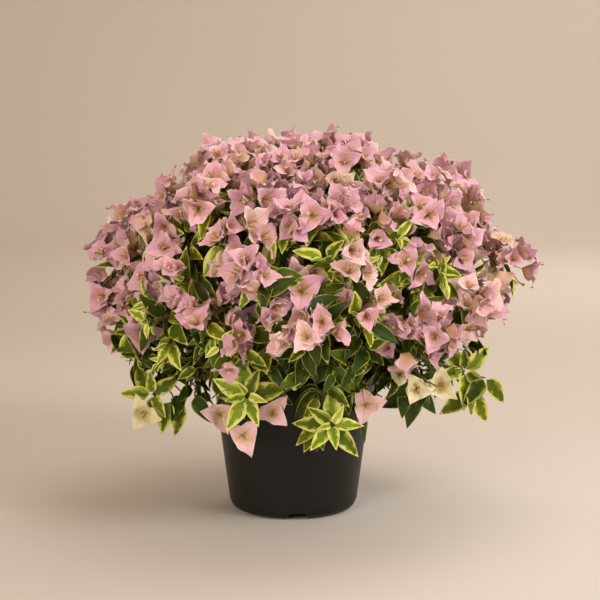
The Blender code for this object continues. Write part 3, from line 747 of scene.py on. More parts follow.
# Shoots beyond the named ones; a spray that isn't listed gets OTHER_SHOOTS
EXTRA_SHOOTS = {"front_left": 2, "front_right": 1, "left": 0, "right": 0, "lower_right": 0}
OTHER_SHOOTS = 9
TO_VIEWER = Vector((0.0, -1.0, 0.0))
for mass in masses:
    if not mass["size"]:
        continue
    outward = Vector((mass["middle"].x, mass["middle"].y, 0.0)).normalized()
    across = outward.cross(up)
    named = [row[1:] for row in NAMED_ENDS if row[0] == mass["name"]]
    for end, kind, leaves in named:
        leaning = (outward * 0.6 - up * 0.1 + TO_VIEWER * 0.8).normalized()
        shoot = grow_shoot(mass, Vector(end), leaning)
        shoot["kind"], shoot["known"] = kind, leaves
        shoots.append(shoot)
    for index in range(EXTRA_SHOOTS.get(mass["name"], OTHER_SHOOTS)):
        angle = GOLDEN_ANGLE * index
        length = (0.45, 0.75, 1.0)[index % 3]
        offset = (across * math.cos(angle) + up * math.sin(angle)) * length
        tip = mass["middle"] + offset * mass["size"] + outward * 0.004
        if named:
            tip -= outward * 0.018
        shoot = grow_shoot(mass, tip, (outward + offset * 0.5).normalized())
        shoot["kind"] = dice.choice(("grown", "grown", "fresh", "deep" if named else "blush"))
        shoots.append(shoot)
print("shoots with the hanging sprays:", len(shoots))

# %% [markdown]
# A shoot either blooms or stays in leaf. Most bloom at the top and hardly any low down, and here and
# there leaves or pale bracts show instead. Choosing by place gives the plant its own patches, where
# choosing by chance alone would give an even speckle.

# %% What each shoot ends in
LEAFY_PLACES = (
    # azimuth, elevation and spread in degrees of the places where leaves show more than blooms
    (-118.0, 38.0, 5.0), (-124.0, 16.0, 8.0), (-114.0, 14.0, 6.0), (-100.0, 16.0, 5.0),
    (-82.0, 12.0, 8.0), (-88.0, 44.0, 4.0), (-66.0, 24.0, 7.0), (-70.0, 8.0, 8.0),
    (-55.0, 6.0, 7.0), (-46.0, 8.0, 6.0), (-136.0, -5.0, 8.0), (-150.0, 0.0, 6.0),
    (60.0, 20.0, 10.0), (110.0, 8.0, 12.0), (150.0, 34.0, 9.0),
)
LEAFINESS = 0.58
# In the same way, the places where pale bracts show more than pink ones
PALE_PLACES = ((-50.0, 42.0, 6.0), (120.0, 38.0, 6.0), (150.0, 6.0, 6.0))


def blossom_share(way):
    """How likely a shoot is to bloom: most at the top, hardly at all low down."""
    height = min(1.0, max(0.0, (math.degrees(math.asin(way.z)) + 15.0) / 12.0))
    share = lerp(0.03, 1.0, height)
    for place in LEAFY_PLACES:
        share *= 1.0 - LEAFINESS * near(way, *place)
    return share


def bract_tint(way):
    """The tint of a shoot's bracts, by place: mauve and rose above, blush lower, some cream."""
    pale = max(near(way, *place) for place in PALE_PLACES)
    if dice.random() < 0.8 * pale + 0.012:
        return "cream"
    # Low down peach is likelier: partly faded bracts, partly painted warm shade for bracts under the
    # crown
    low = 1.0 - max(0.0, min(1.0, way.z + 0.25))
    if dice.random() < 0.01 + 0.05 * low + 0.25 * pale:
        return "peach"
    return dice.choice(("mauve", "mauve", "rose", "rose" if way.z > 0.3 else "blush"))


for shoot in shoots:
    if "kind" in shoot:
        continue
    if dice.random() < blossom_share(shoot["outward"]):
        shoot["kind"] = bract_tint(shoot["outward"])
    else:
        shoot["kind"] = dice.choice(("fresh", "fresh", "grown"))
print("leafy shoots:", sum(shoot["kind"] in ("fresh", "grown", "deep") for shoot in shoots))

# %% Twigs of each shoot
TWIGS = 640
TWIG_SHARES, TWIG_FALL = (0.87, 0.82, 0.85, 0.76, 0.86, 0.80), 0.13
for index, way in enumerate(spiral(TWIGS, -38.0, 87.0)):
    way, off = gathered(way)
    share = TWIG_SHARES[index % 6] + swelling(way) + CLUMP_PROUD - TWIG_FALL * off * off
    tip = HEART + way * crown_reach(way) * share + any_way(0.006)
    shoot = min(domed, key=lambda other: (other["path"][-1] - tip).length)
    node, along = point_on(shoot["path"], dice.uniform(0.45, 0.85))
    path = bend(node, along + (tip - node).normalized(), tip, way + along * 0.3 + up * 0.15, 4)
    shoot["twigs"].append((path, off))
print("twigs:", sum(len(shoot["twigs"]) for shoot in shoots))

# %% [markdown]
# ## Wood
#
# Limbs are round and taper, so a curve with a bevel and a radius at each point is the quickest way
# to make them, and one curve object can hold them all. It is turned into a mesh, and noise then
# moves the points of the stem and boughs in and out along their normals for ridged bark.

# %% Limbs as one bevelled curve


def limb_mesh(name, limbs, sides):
    """One mesh of all limbs; each limb is a path and its radii at the two ends."""
    curve = bpy.data.curves.new(name, "CURVE")
    curve.dimensions = "3D"
    curve.bevel_depth = 1.0
    curve.bevel_resolution = sides
    curve.use_fill_caps = True
    for path, first, last in limbs:
        spline = curve.splines.new("POLY")
        spline.points.add(len(path) - 1)
        for index, (point, place) in enumerate(zip(spline.points, path)):
            point.co = (*place, 1.0)
            point.radius = lerp(first, last, index / (len(path) - 1))
    holder = bpy.data.objects.new(name, curve)
    mesh = bpy.data.meshes.new_from_object(holder)
    mesh.name = name
    mesh.materials.clear()
    bpy.data.objects.remove(holder, do_unlink=True)
    bpy.data.curves.remove(curve)
    return mesh


TRUNK_RINGS = 30
heights = [
    lerp(TRUNK_FOOT, TRUNK_TOP, (ring / TRUNK_RINGS) ** 1.15) for ring in range(TRUNK_RINGS + 1)
]
# Each limb's path with its radius at the foot and at the end, in metres
limbs = [([trunk_axis(height) for height in heights], 0.0125, 0.0080)]
limbs += [(mass["path"], 0.0046, 0.0025) for mass in masses]
wood_mesh = limb_mesh("stem_and_boughs", limbs, 4)
print("limb faces:", len(wood_mesh.polygons))

# %% Ridged bark and root flare
FLARE, FLARE_HEIGHT, FLARE_TOES = 0.0065, 0.018, 5
# Everything this near the stem's axis is the stem
STEM_REACH = 0.016
STEM_RIDGES, BOUGH_RIDGES = 0.0010, 0.0004
# Ridges run up and down, so their noise changes fast across and slowly along
RIDGE_ACROSS, RIDGE_ALONG = 260.0, 70.0
wood = bmesh.new()
wood.from_mesh(wood_mesh)
bpy.data.meshes.remove(wood_mesh)
wood.normal_update()
for vert in wood.verts:
    flat = Vector((vert.co.x, vert.co.y, 0.0)) - Vector((*trunk_axis(vert.co.z).xy, 0.0))
    in_trunk = flat.length < STEM_REACH
    low = max(0.0, 1.0 - (vert.co.z - TRUNK_FOOT) / FLARE_HEIGHT)
    ridge_scale = Vector((RIDGE_ACROSS, RIDGE_ACROSS, RIDGE_ALONG))
    lift = noise.noise(vert.co * ridge_scale) * (STEM_RIDGES if in_trunk else BOUGH_RIDGES)
    if in_trunk and low > 0.0:
        angle = math.atan2(flat.y, flat.x)
        lift += FLARE * low ** 1.5 * (0.6 + 0.4 * math.cos(FLARE_TOES * angle))
        vert.co += flat.normalized() * lift
    else:
        vert.co += vert.normal * lift
stem_and_boughs = mesh_object("stem_and_boughs", wood, bark)
stem_and_boughs.data.shade_smooth()
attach(stem_and_boughs, "root")
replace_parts(stem_and_boughs, "trunk", *[mass["bough"] for mass in masses])
print("bark faces:", len(stem_and_boughs.data.polygons))

# %% Twigs


def limb_object(name, limbs, sides, finish):
    """Limbs too thin to show their bark: one smooth piece of one finish."""
    item = shown(name, limb_mesh(name, limbs, sides), finish)
    item.data.shade_smooth()
    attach(item, "root")
    print(name, "faces:", len(item.data.polygons))


twig_brown = plain_finish("twig brown", "#6b5233", 0.75)
shoot_green = plain_finish("young shoot green", "#7d8238", 0.6)
woody = [(mass["stem"], 0.0025, 0.0017) for mass in masses]
woody += [(shoot["path"], 0.0016, 0.0010) for shoot in shoots]
green = [(path, 0.0010, 0.0006) for shoot in shoots for path, _off in shoot["twigs"]]
limb_object("brown_twigs", woody, 1, twig_brown)
limb_object("green_twigs", green, 0, shoot_green)

# %% [markdown]
# ## Leaves
#
# A leaf is oval with a drawn-out point, folded a little along its midrib, and edged with cream:
# thin on old leaves, wide and ragged on young ones. It starts as a grid, and every column of the
# grid is drawn in to the leaf's outline. The edge's ragged inner line is where the outer column
# begins, so moving those points gives each template its own pattern with no image and no texture.

# %% One leaf
LEAF_ROWS, LEAF_COLUMNS = 9, 6
CENTRE, PATCH, EDGE = 0, 1, 2


def template_mesh(name, bm):
    """A bmesh as a smooth mesh that is kept for copying."""
    for face in bm.faces:
        face.smooth = True
    bm.normal_update()
    return settled(name, bm)


def grid_cell(vert, rows, columns):
    """The row and the column of a point of a grid that spans -1 to 1."""
    return round((vert.co.y + 1.0) / 2.0 * rows), round((vert.co.x + 1.0) / 2.0 * columns)


def leaf_outline(share):
    """Half the width at a share of the length: round at the heel, drawn out at the point."""
    return share ** 0.55 * (1.0 - share) ** 1.05 / 0.418


def leaf_template(name, width, edge_from, ragged, droop, fold, patches):
    """A leaf of length 1 along +Y with its upper side up; width is its half width.

    edge_from is the share of the half width where the edge begins, ragged how far that strays,
    and patches the share of faces beside the edge that are of the patches' tint.
    """
    bm = bmesh.new()
    bmesh.ops.create_grid(bm, x_segments=LEAF_COLUMNS, y_segments=LEAF_ROWS, size=1.0)
    cells = {vert: grid_cell(vert, LEAF_ROWS, LEAF_COLUMNS) for vert in bm.verts}
    wave = [dice.uniform(0.0, math.tau) for _side in range(2)]
    stray = {
        (row, side): dice.uniform(-ragged, ragged) for row in range(LEAF_ROWS + 1) for side in (0, 1)
    }
    for vert, (row, column) in cells.items():
        share = row / LEAF_ROWS
        side = 0 if column < LEAF_COLUMNS / 2 else 1
        off = abs(column - LEAF_COLUMNS / 2)
        inner = min(0.94, max(0.30, edge_from + stray[row, side]))
        across = (0.0, inner * 0.5, inner, 1.0)[int(off)]
        sign = -1.0 if side == 0 else 1.0
        half = width * leaf_outline(share)
        x = sign * across * half
        rise = fold * abs(x) + 0.016 * across * math.sin(wave[side] + share * 11.0)
        vert.co = Vector((x, share - 0.06 * droop * share, rise - droop * share * share))
    for face in bm.faces:
        row, column = (min(cells[vert][part] for vert in face.verts) for part in (0, 1))
        outer = column in (0, LEAF_COLUMNS - 1)
        middle = column in (1, LEAF_COLUMNS - 2)
        face.material_index = EDGE if outer else CENTRE
        if middle and dice.random() < patches:
            face.material_index = PATCH
        if row == LEAF_ROWS - 1 and edge_from < 0.8:
            face.material_index = EDGE
    bmesh.ops.remove_doubles(bm, verts=bm.verts[:], dist=0.0005)
    return template_mesh(name, bm)


print("faces in a leaf:", LEAF_ROWS * LEAF_COLUMNS)

# %% Leaf templates
LEAF_AGES = {
    # how many templates, half width, where the edge starts, raggedness, and share of patches
    "deep": (5, 0.28, 0.90, 0.05, 0.10),
    "grown": (7, 0.275, 0.77, 0.19, 0.40),
    "fresh": (7, 0.28, 0.64, 0.25, 0.55),
    "tip": (3, 0.25, 0.52, 0.18, 0.7),
}
leaf_templates = {}
for age, (count, width, edge_from, ragged, patches) in LEAF_AGES.items():
    leaf_templates[age] = [
        leaf_template(
            f"leaf_{age}_{number}", width * dice.uniform(0.9, 1.1), edge_from, ragged,
            dice.uniform(0.08, 0.42), dice.uniform(0.18, 0.62), patches,
        )
        for number in range(count)
    ]
print("leaf templates:", sum(len(kept) for kept in leaf_templates.values()))

# %% Leaf colours
LEAF_TINTS = {
    # centre, patches and edge
    "deep": ("#374207", "#535e0b", "#a6a956"),
    "deep blue": ("#2d410b", "#465c10", "#9aa45a"),
    "grown": ("#4e5f0a", "#828c1a", "#c8c868"),
    "grown warm": ("#64700c", "#989a22", "#d6cf66"),
    "fresh": ("#698217", "#a2ae36", "#dcdc78"),
    "fresh lime": ("#7f9620", "#b2bc46", "#e2e284"),
    "tip": ("#a8b43c", "#c8d05c", "#e8e892"),
}
AGE_TINTS = {
    "deep": ("deep", "deep", "deep blue", "grown"),
    "grown": ("grown", "grown warm", "deep"),
    "fresh": ("fresh", "fresh lime", "grown"),
    "tip": ("tip", "fresh lime"),
}


def tint_finishes(kind, tints, parts, **sockets):
    """A finish for each part of each tint, and the slot at which each tint starts."""
    finishes, slots = [], {}
    for tint, codes in tints.items():
        slots[tint] = len(finishes)
        for part, code in zip(parts, codes):
            finishes.append(plain_finish(f"{kind} {tint} {part}", code, 0.5, **sockets))
    return finishes, slots


def tinted(mesh, first_slot):
    """A copy of a template whose faces point at another set of slots."""
    copy = mesh.copy()
    for face in copy.polygons:
        face.material_index += first_slot
    return copy


leaf_finishes, leaf_slots = tint_finishes(
    "leaf", LEAF_TINTS, ("centre", "patch", "edge"), Specular_IOR_Level=0.2,
)
leaf_stock = {
    age: [tinted(mesh, leaf_slots[tint]) for mesh in leaf_templates[age] for tint in AGE_TINTS[age]]
    for age in LEAF_AGES
}
print("leaves in stock:", sum(len(kept) for kept in leaf_stock.values()))

# %% [markdown]
# ## Blooms
#
# What looks like a flower is three papery bracts round three slender tubes. A bract is broad with
# a sharp point, creased along its midrib, and the three stand in a bowl and roll back at their
# tips. One bract is shaped on a grid and turned by thirds of a circle, each a little differently.

# %% One bract
BRACT_ROWS = 7
# Where the grid's columns stand across a bract; the vein is the narrow one in the middle
BRACT_ACROSS = (-1.0, -0.84, -0.42, -0.03, 0.03, 0.42, 0.84, 1.0)
VEIN_COLUMN = 3
# The last slot, the rim, holds a paler tone: a painted highlight along a bract's edges
BLADE, VEIN, FLUSH, THROAT, PAINTED_HIGHLIGHT_RIM = 0, 1, 2, 3, 4


def bract_outline(share):
    """Half the width at a share of the length: broad, rounded at the foot, ending in a point."""
    return share ** 0.60 * (1.0 - share) ** 1.22 / 0.313


def add_bract(bm, turn, steep, rolled, width, length):
    """One bract of a bloom that faces +Z: steep at its foot, rolled back at its tip."""
    made = bmesh.ops.create_grid(
        bm, x_segments=len(BRACT_ACROSS) - 1, y_segments=BRACT_ROWS, size=1.0,
    )
    spine = [Vector((0.0012, 0.0, 0.0))]
    leans = []
    # How sharply the last four tenths roll back, in degrees for a whole length
    curl = dice.uniform(-40.0, 150.0)
    for row in range(BRACT_ROWS + 1):
        share = row / BRACT_ROWS
        leans.append(math.radians(lerp(steep, rolled, share ** 1.2) - curl * max(0.0, share - 0.6)))
        step = Vector((math.cos(leans[-1]), 0.0, math.sin(leans[-1]))) * length / BRACT_ROWS
        spine.append(spine[-1] + step)
    wave, waves = dice.uniform(0.0, math.tau), dice.uniform(8.0, 13.0)
    twist, sway = dice.uniform(-0.6, 0.6), dice.uniform(-0.20, 0.20) * length
    cells = {}
    for vert in made["verts"]:
        row, column = grid_cell(vert, BRACT_ROWS, len(BRACT_ACROSS) - 1)
        cells[vert] = (row, column)
        share, across = row / BRACT_ROWS, BRACT_ACROSS[column]
        upward = Vector((-math.sin(leans[row]), 0.0, math.cos(leans[row])))
        half = width * bract_outline(share) + 0.0008
        half *= 1.0 + 0.07 * math.sin(wave * 3.0 + waves * share + 2.0 * across)
        # Cupped at the foot and turned back at the rim, with a crease along the midrib
        lift = half * across * across * lerp(0.55, -0.45, share) + half * abs(across) * 0.30
        ripple = wave + waves * share * (1.0 if across > 0 else 1.3)
        lift += 0.0030 * abs(across) ** 2.5 * math.sin(ripple)
        lift += math.sin(twist * share) * across * half
        vert.co = spine[row] + upward * lift
        vert.co.y = across * half * (1.0 - 0.12 * across * across) + sway * share * share
        vert.co.rotate(Matrix.Rotation(turn, 3, "Z"))
    for face in bm.faces:
        mine = [cells[vert] for vert in face.verts if vert in cells]
        if len(mine) < 4:
            continue
        row, column = (min(cell[part] for cell in mine) for part in (0, 1))
        in_vein = column == VEIN_COLUMN
        face.material_index = VEIN if in_vein and row < BRACT_ROWS - 1 else BLADE
        if row <= 2 and (not in_vein or row == 0):
            face.material_index = THROAT if row == 0 else FLUSH
        # The outer columns are paler: a painted highlight where the edges catch the light
        if row > 1 and column in (0, len(BRACT_ACROSS) - 2):
            face.material_index = PAINTED_HIGHLIGHT_RIM


print("faces in a bract:", (len(BRACT_ACROSS) - 1) * BRACT_ROWS)

# %% Bloom templates
BRACT_HALF_WIDTH, BRACT_LENGTH = 0.0150, 0.0365


def bloom_template(name, steep, rolled):
    """Three bracts a third of a turn apart, each a little different."""
    bm = bmesh.new()
    for third in range(3):
        add_bract(
            bm, math.tau * third / 3 + dice.uniform(-0.12, 0.12), steep + dice.uniform(-12, 12),
            rolled + dice.uniform(-24, 20), BRACT_HALF_WIDTH * dice.uniform(0.90, 1.08),
            BRACT_LENGTH * dice.uniform(0.88, 1.06),
        )
    bmesh.ops.remove_doubles(bm, verts=bm.verts[:], dist=0.00012)
    return template_mesh(name, bm)


# For each form, the number of templates, then the bracts' lean at foot and tip in degrees
BLOOM_FORMS = {"open": (8, 60.0, -2.0), "half": (6, 72.0, 22.0), "shut": (3, 82.0, 54.0)}
bloom_templates = {
    form: [bloom_template(f"bloom_{form}_{number}", steep, rolled) for number in range(count)]
    for form, (count, steep, rolled) in BLOOM_FORMS.items()
}
print("bloom templates:", sum(len(kept) for kept in bloom_templates.values()))

# %% Bract colours
BRACT_TINTS = {
    # blade, vein, flush round the throat, throat and rim, whose paler tone is a painted highlight
    "mauve": ("#d9a5b8", "#ba7e8f", "#d5a898", "#c5a068", "#e4c3ce"),
    "rose": ("#dfaab5", "#c5868f", "#daad98", "#caa466", "#e9cccf"),
    "blush": ("#e7bdbf", "#d09a9a", "#e0bfa8", "#d4bc78", "#f0dad8"),
    "peach": ("#deb9a6", "#c99a82", "#dab994", "#ceb672", "#ebd5c2"),
    "cream": ("#eadfb8", "#d8ca90", "#dad092", "#cbc672", "#f3ebcc"),
}
# What the blooms of a shoot of each tint may be
NEXT_TINTS = {
    "mauve": ("mauve", "mauve", "mauve", "rose"),
    "rose": ("rose", "rose", "mauve", "blush"),
    "blush": ("blush", "blush", "rose"),
    "peach": ("peach", "blush", "blush"),
    "cream": ("cream", "cream", "cream", "peach"),
}
bract_finishes, bract_slots = tint_finishes(
    # Each tint's rim finish is a painted highlight along the bracts' edges
    "bract", BRACT_TINTS, ("blade", "vein", "flush", "throat", "rim"), Sheen_Weight=0.35,
)
bloom_stock = {
    (form, tint): [tinted(mesh, bract_slots[tint]) for mesh in bloom_templates[form]]
    for form in BLOOM_FORMS for tint in BRACT_TINTS
}
print("blooms in stock:", sum(len(kept) for kept in bloom_stock.values()))

# %% [markdown]
# The true flowers are the three tubes. Some end in a little star and the rest are still shut. Each
# tube is a circle extruded ring by ring, which a cone couldn't give its waist. Two wider rings make
# the star, and a last ring merged to a point shuts a tube.

# %% Flower templates
# The flower finishes' slot for a star; the tubes have the first
STAR = 1
TUBE_RADIUS = 0.0009
# Along a tube: the share of its length, then the share of its radius
TUBE_WAIST = ((0.25, 1.25), (0.45, 0.72), (0.8, 1.0))


def pull_ring(bm, edges, radius, height):
    """Extrude a ring of edges into one of another radius at another height."""
    pulled = bmesh.ops.extrude_edge_only(bm, edges=edges)["geom"]
    ring = [part for part in pulled if isinstance(part, bmesh.types.BMVert)]
    for vert in ring:
        vert.co = Vector((vert.co.x, vert.co.y, 0.0)).normalized() * radius
        vert.co.z = height
    return ring, [part for part in pulled if isinstance(part, bmesh.types.BMEdge)]


def add_tube(bm, turn, is_open):
    """One flower tube beside the bloom's axis, open in a star or still shut."""
    whole = bmesh.ops.create_circle(bm, cap_ends=False, segments=5, radius=TUBE_RADIUS)["verts"][:]
    edges = list(dict.fromkeys(edge for vert in whole for edge in vert.link_edges))
    lean = Matrix.Rotation(dice.uniform(0.10, 0.24), 4, "Y")
    spot = Matrix.Translation((0.0022, 0.0, 0.001))
    length = dice.uniform(0.014, 0.019)
    for height, scale in (*TUBE_WAIST, (1.0, 1.35 if is_open else 1.5)):
        ring, edges = pull_ring(bm, edges, TUBE_RADIUS * scale, height * length)
        whole += ring
    if is_open:
        for reach, height in ((0.0014, 1.05), (0.0026, 1.10)):
            ring, edges = pull_ring(bm, edges, reach, height * length)
            whole += ring
            for face in {face for vert in ring for face in vert.link_faces}:
                face.material_index = STAR
    else:
        ring, edges = pull_ring(bm, edges, TUBE_RADIUS, length)
        bmesh.ops.pointmerge(bm, verts=ring, merge_co=Vector((0.0, 0.0, 1.14 * length)))
        whole += [vert for vert in ring if vert.is_valid]
    bmesh.ops.transform(bm, matrix=Matrix.Rotation(turn, 4, "Z") @ spot @ lean, verts=whole)


def flower_template(number):
    """Three tubes; in one template of three, one tube is open."""
    bm = bmesh.new()
    for third in range(3):
        add_tube(bm, math.tau * (third + 0.2) / 3, number % 3 == 1 and third == 0)
    bmesh.ops.recalc_face_normals(bm, faces=bm.faces[:])
    return template_mesh(f"flower_{number}", bm)


flower_stock = [flower_template(number) for number in range(6)]
flower_finishes = [
    plain_finish("flower tube", "#b99a58", 0.6), plain_finish("flower star", "#ece6b8", 0.6),
]
print("flower templates:", len(flower_stock), "faces each:", len(flower_stock[1].polygons))

# %% [markdown]
# ## Growing the foliage
#
# A piece that is needed thousands of times is placed by one matrix: the template's mesh is copied,
# moved and poured into a shared bmesh. Thousands of objects would be slow and hard to keep in
# order, and joining them at the end would give the same few pieces.

# %% Beds to pour into
SECTORS = ("right", "back", "left", "front")
leaf_beds = {sector: bmesh.new() for sector in SECTORS}
bract_beds = {half: bmesh.new() for half in ("front", "back")}
flower_bed = bmesh.new()
stalks = []
tally = {"leaves": 0, "blooms": 0, "skipped": 0}


def sector_of(point):
    """The quarter of the crown that a point lies in."""
    angle = math.degrees(math.atan2(point.y, point.x - HEART.x))
    return SECTORS[int(((angle + 45.0) % 360.0) // 90.0)]


def pour(bed, mesh, matrix):
    """Add a moved copy of a mesh to a bmesh."""
    copy = mesh.copy()
    copy.transform(matrix)
    bed.from_mesh(copy)
    bpy.data.meshes.remove(copy)


def facing(place, along, face, scale):
    """A matrix with Y along the leaf, Z as near as can be to its face."""
    y = along.normalized()
    x = y.cross(face).normalized()
    z = x.cross(y)
    turn = Matrix((x, y, z)).transposed().to_4x4()
    return Matrix.Translation(place) @ turn @ Matrix.Scale(scale, 4)


print("beds:", len(leaf_beds) + len(bract_beds) + 1)

# %% [markdown]
# Leaves and blooms that would dip into the pot or leave the crown are turned or skipped, as they are
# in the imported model, and so are leaves that would grow through a bract. Distances to a few known
# points settle that. Casting rays at the finished meshes would be slower and no better.

# %% Room for foliage
bloom_spots = []
# Known ends that nothing may stand in front of, each with the radius that is kept clear
clear_sights = []
LOWEST_SPRAY = 0.112
POT_CLEAR = 0.006
# How far a leaf stays from the middle of a bloom's bowl
BOWL = 0.0165


def lowest_leaf(point):
    """How low foliage hangs: lowest at the back, raised at the front and out to both sides."""
    lowest = SKIRT + 0.010 + 0.16 * max(0.0, -0.05 - point.y)
    if point.x > 0.10 and point.y < 0.12:
        lowest += 0.034 + 0.62 * max(0.0, point.x - 0.20)
    if point.x < -0.10 and point.y < 0.12:
        lowest += 0.016 + 0.36 * max(0.0, -0.18 - point.x)
    return lowest


def in_spray(point):
    """True inside one of the hanging sprays."""
    return any(
        (point - mass["middle"]).length < mass["size"] * 1.15
        and point.z > mass["middle"].z - mass["size"]
        for mass in masses if mass["size"]
    )


def has_room(point, limit):
    """True where foliage may be: clear of the pot, and inside the crown or a spray.

    limit is the share of the crown's reach that counts as inside; without one only the pot counts.
    """
    from_axis = math.hypot(point.x, point.y)
    if point.z < POT_HEIGHT + POT_CLEAR and from_axis < RIM_RADIUS + POT_CLEAR:
        return False
    if limit is None:
        return True
    if point.z < LOWEST_SPRAY:
        return False
    offset = point - HEART
    inside = offset.length < crown_reach(offset.normalized()) * limit
    return inside and point.z > lowest_leaf(point) or in_spray(point)


def off_blooms(*points):
    """True where none of the points is in a bloom's bowl, or in the way of a known bloom or rosette."""
    for point in points:
        if bloom_tree.find(point)[2] < BOWL:
            return False
        for spot, radius in clear_sights:
            raised = point.z - spot.z + (point.y - spot.y) * math.tan(CAMERA_DOWN)
            if point.y < spot.y + 0.012 and math.hypot(point.x - spot.x, raised) < radius:
                return False
    return True


print("foliage hangs down to", round(lowest_leaf(HEART), 3), "and in sprays to", LOWEST_SPRAY)

# %% Adding a leaf or a bloom
# The least distance between two blooms' bowls, how far a bowl's middle is from the bloom's foot, and
# the radius that is kept clear in front of a known bloom and a known rosette
APART, BOWL_DEPTH, BLOOM_SEEN, ROSETTE_SEEN = 0.0165, 0.014, 0.022, 0.036
KNOWN_FORMS, OTHER_FORMS = (0.75, 0.25, 0.0), (0.56, 0.34, 0.10)
LEAF_TRIES = 4


def add_leaf(place, along, face, age, length, limit):
    """Put a leaf at a place, turned and shortened a few times if it doesn't fit at first."""
    for attempt in range(LEAF_TRIES):
        way = (along + any_way(0.25 * attempt)).normalized()
        tip, middle = place + way * length, place + way * length * 0.5
        if has_room(tip, limit) and has_room(middle, limit) and off_blooms(tip, middle):
            mesh = dice.choice(leaf_stock[age])
            pour(leaf_beds[sector_of(place)], mesh, facing(place, way, face, length))
            tally["leaves"] += 1
            return True
        length *= 0.92
    tally["skipped"] += 1
    return False


def add_bloom(centre, face, tint, scale, known, limit):
    """Put a bloom at a centre, unless it crowds another or doesn't fit; a known one always goes in."""
    face = face.normalized()
    bowl = centre + face * BOWL_DEPTH
    crowded = any((bowl - other).length < APART for other in bloom_spots)
    if not known and (crowded or not has_room(centre + face * 0.02, limit)):
        tally["skipped"] += 1
        return False
    form = dice.choices(("open", "half", "shut"), KNOWN_FORMS if known else OTHER_FORMS)[0]
    spin = Matrix.Rotation(dice.random() * math.tau, 4, "Z")
    turn = face.to_track_quat("Z", "Y").to_matrix().to_4x4()
    matrix = Matrix.Translation(centre) @ turn @ spin @ Matrix.Scale(scale, 4)
    shade = "peach" if dice.random() < 0.03 else dice.choice(NEXT_TINTS[tint])
    if known:
        shade = tint
    bed = bract_beds["back" if centre.y > 0.0 else "front"]
    pour(bed, dice.choice(bloom_stock[form, shade]), matrix)
    pour(flower_bed, dice.choice(flower_stock), matrix)
    bloom_spots.append(bowl)
    if known:
        clear_sights.append((bowl, BLOOM_SEEN))
    tally["blooms"] += 1
    return True


print("blooms stand at least", APART, "apart")

# %% [markdown]
# Leaves sit round a twig a golden angle apart on short stalks, and shrink and pale towards its
# tip, where the last ones form a rosette. A blooming twig ends in one to three blooms on stalks
# that fan out, with a few old leaves below them.

# %% Leaves along a twig
# Ages of the leaves along a twig in the shade below, and in the sun above
SIDE_AGES = (("deep", "deep", "deep", "grown"), ("deep", "grown", "grown", "fresh"))
LEAF_STALK = 0.006
TIP_LENGTHS, SIDE_LENGTHS = (0.030, 0.043), (0.038, 0.056)


def leafy_twig(path, outward, kind, count, tip_count, limit):
    """Leaves along a path, of which tip_count sit close round its tip. Low down they hang.

    kind is the age of the outer leaves, and limit the share of the crown's reach they stay within.
    """
    low = max(0.0, min(1.0, (HEART.z + 0.02 - path[-1].z) / 0.10))
    fall = 0.25 + 0.7 * low
    spin = dice.random() * math.tau
    for index in range(count + tip_count):
        at_tip = index >= count
        if at_tip:
            share = lerp(0.9, 1.0, (index - count) / tip_count)
        elif count > 1:
            share = lerp(0.25, 0.86, (index + dice.uniform(-0.3, 0.3)) / (count - 1))
        else:
            share = lerp(0.25, 0.86, 0.5)
        place, along = point_on(path, min(1.0, max(0.05, share)))
        spin += GOLDEN_ANGLE
        side = along.orthogonal().normalized()
        side.rotate(Matrix.Rotation(spin, 3, along))
        lift = dice.uniform(0.5, 1.1) if at_tip else dice.uniform(0.1, 0.7)
        way = side + along * lift + outward * 0.15 - up * (fall - 0.25 if at_tip else fall)
        face = outward * 0.7 + up * 0.5 + along * 0.4 + any_way(0.35)
        length = dice.uniform(*(TIP_LENGTHS if at_tip else SIDE_LENGTHS))
        age = kind
        if not at_tip and kind != "deep":
            age = dice.choice(SIDE_AGES[outward.z > 0.1])
        if at_tip and index >= count + tip_count - 2 and kind == "fresh":
            age, length = "tip", length * 0.62
        stalk = way.normalized() * LEAF_STALK
        if add_leaf(place + stalk, way, face, age, length, limit):
            stalks.append(([place, place + stalk * 1.3], 0.0006, 0.0004))


print("leaf ages in the shade:", SIDE_AGES[0], "| in the sun:", SIDE_AGES[1])

# %% Rosettes and heads of blooms


def rosette(tip, face, kind, count):
    """Leaves spread in a ring round a twig's tip, all facing one way, the inner ones smaller."""
    spin = dice.random() * math.tau
    for index in range(count):
        share = index / max(7, count - 1)
        spin += math.tau / count if count < 6 else GOLDEN_ANGLE
        side = face.orthogonal().normalized()
        side.rotate(Matrix.Rotation(spin, 3, face))
        if count < 6:
            side = (side - up * 1.1).normalized()
        way = (side + face * lerp(0.10, 1.1, share ** 2) - up * 0.08).normalized()
        age = "tip" if kind == "fresh" and share > 0.75 else kind
        length = lerp(0.056, 0.024, share ** 1.6) * dice.uniform(0.92, 1.06)
        add_leaf(tip + way * 0.004, way, face + any_way(0.22), age, length, None)


def bloom_head(tip, along, outward, tint, count, known=False, limit=1.0):
    """One to three blooms on short stalks that fan out from a twig's tip."""
    spin = dice.random() * math.tau
    for index in range(count):
        side = along.orthogonal().normalized()
        side.rotate(Matrix.Rotation(spin + index * math.tau / count, 3, along))
        fan = side * (0.0 if count == 1 else dice.uniform(0.7, 1.1))
        way = (along * 0.5 + outward * 0.7 + fan * 1.1 + up * 0.12 + any_way(0.25)).normalized()
        reach = dice.uniform(0.006, 0.012) if count == 1 else dice.uniform(0.013, 0.022)
        centre = tip + way * reach
        face = way + outward * 0.10 + any_way(0.75)
        if known:
            face = TO_VIEWER + up * 0.15 + any_way(0.25)
        scale = 1.02 if known else dice.uniform(0.84, 1.14)
        if add_bloom(centre, face, tint, scale, known, limit):
            stalks.append(([tip, tip.lerp(centre, 0.6) + any_way(0.001), centre], 0.0006, 0.0005))


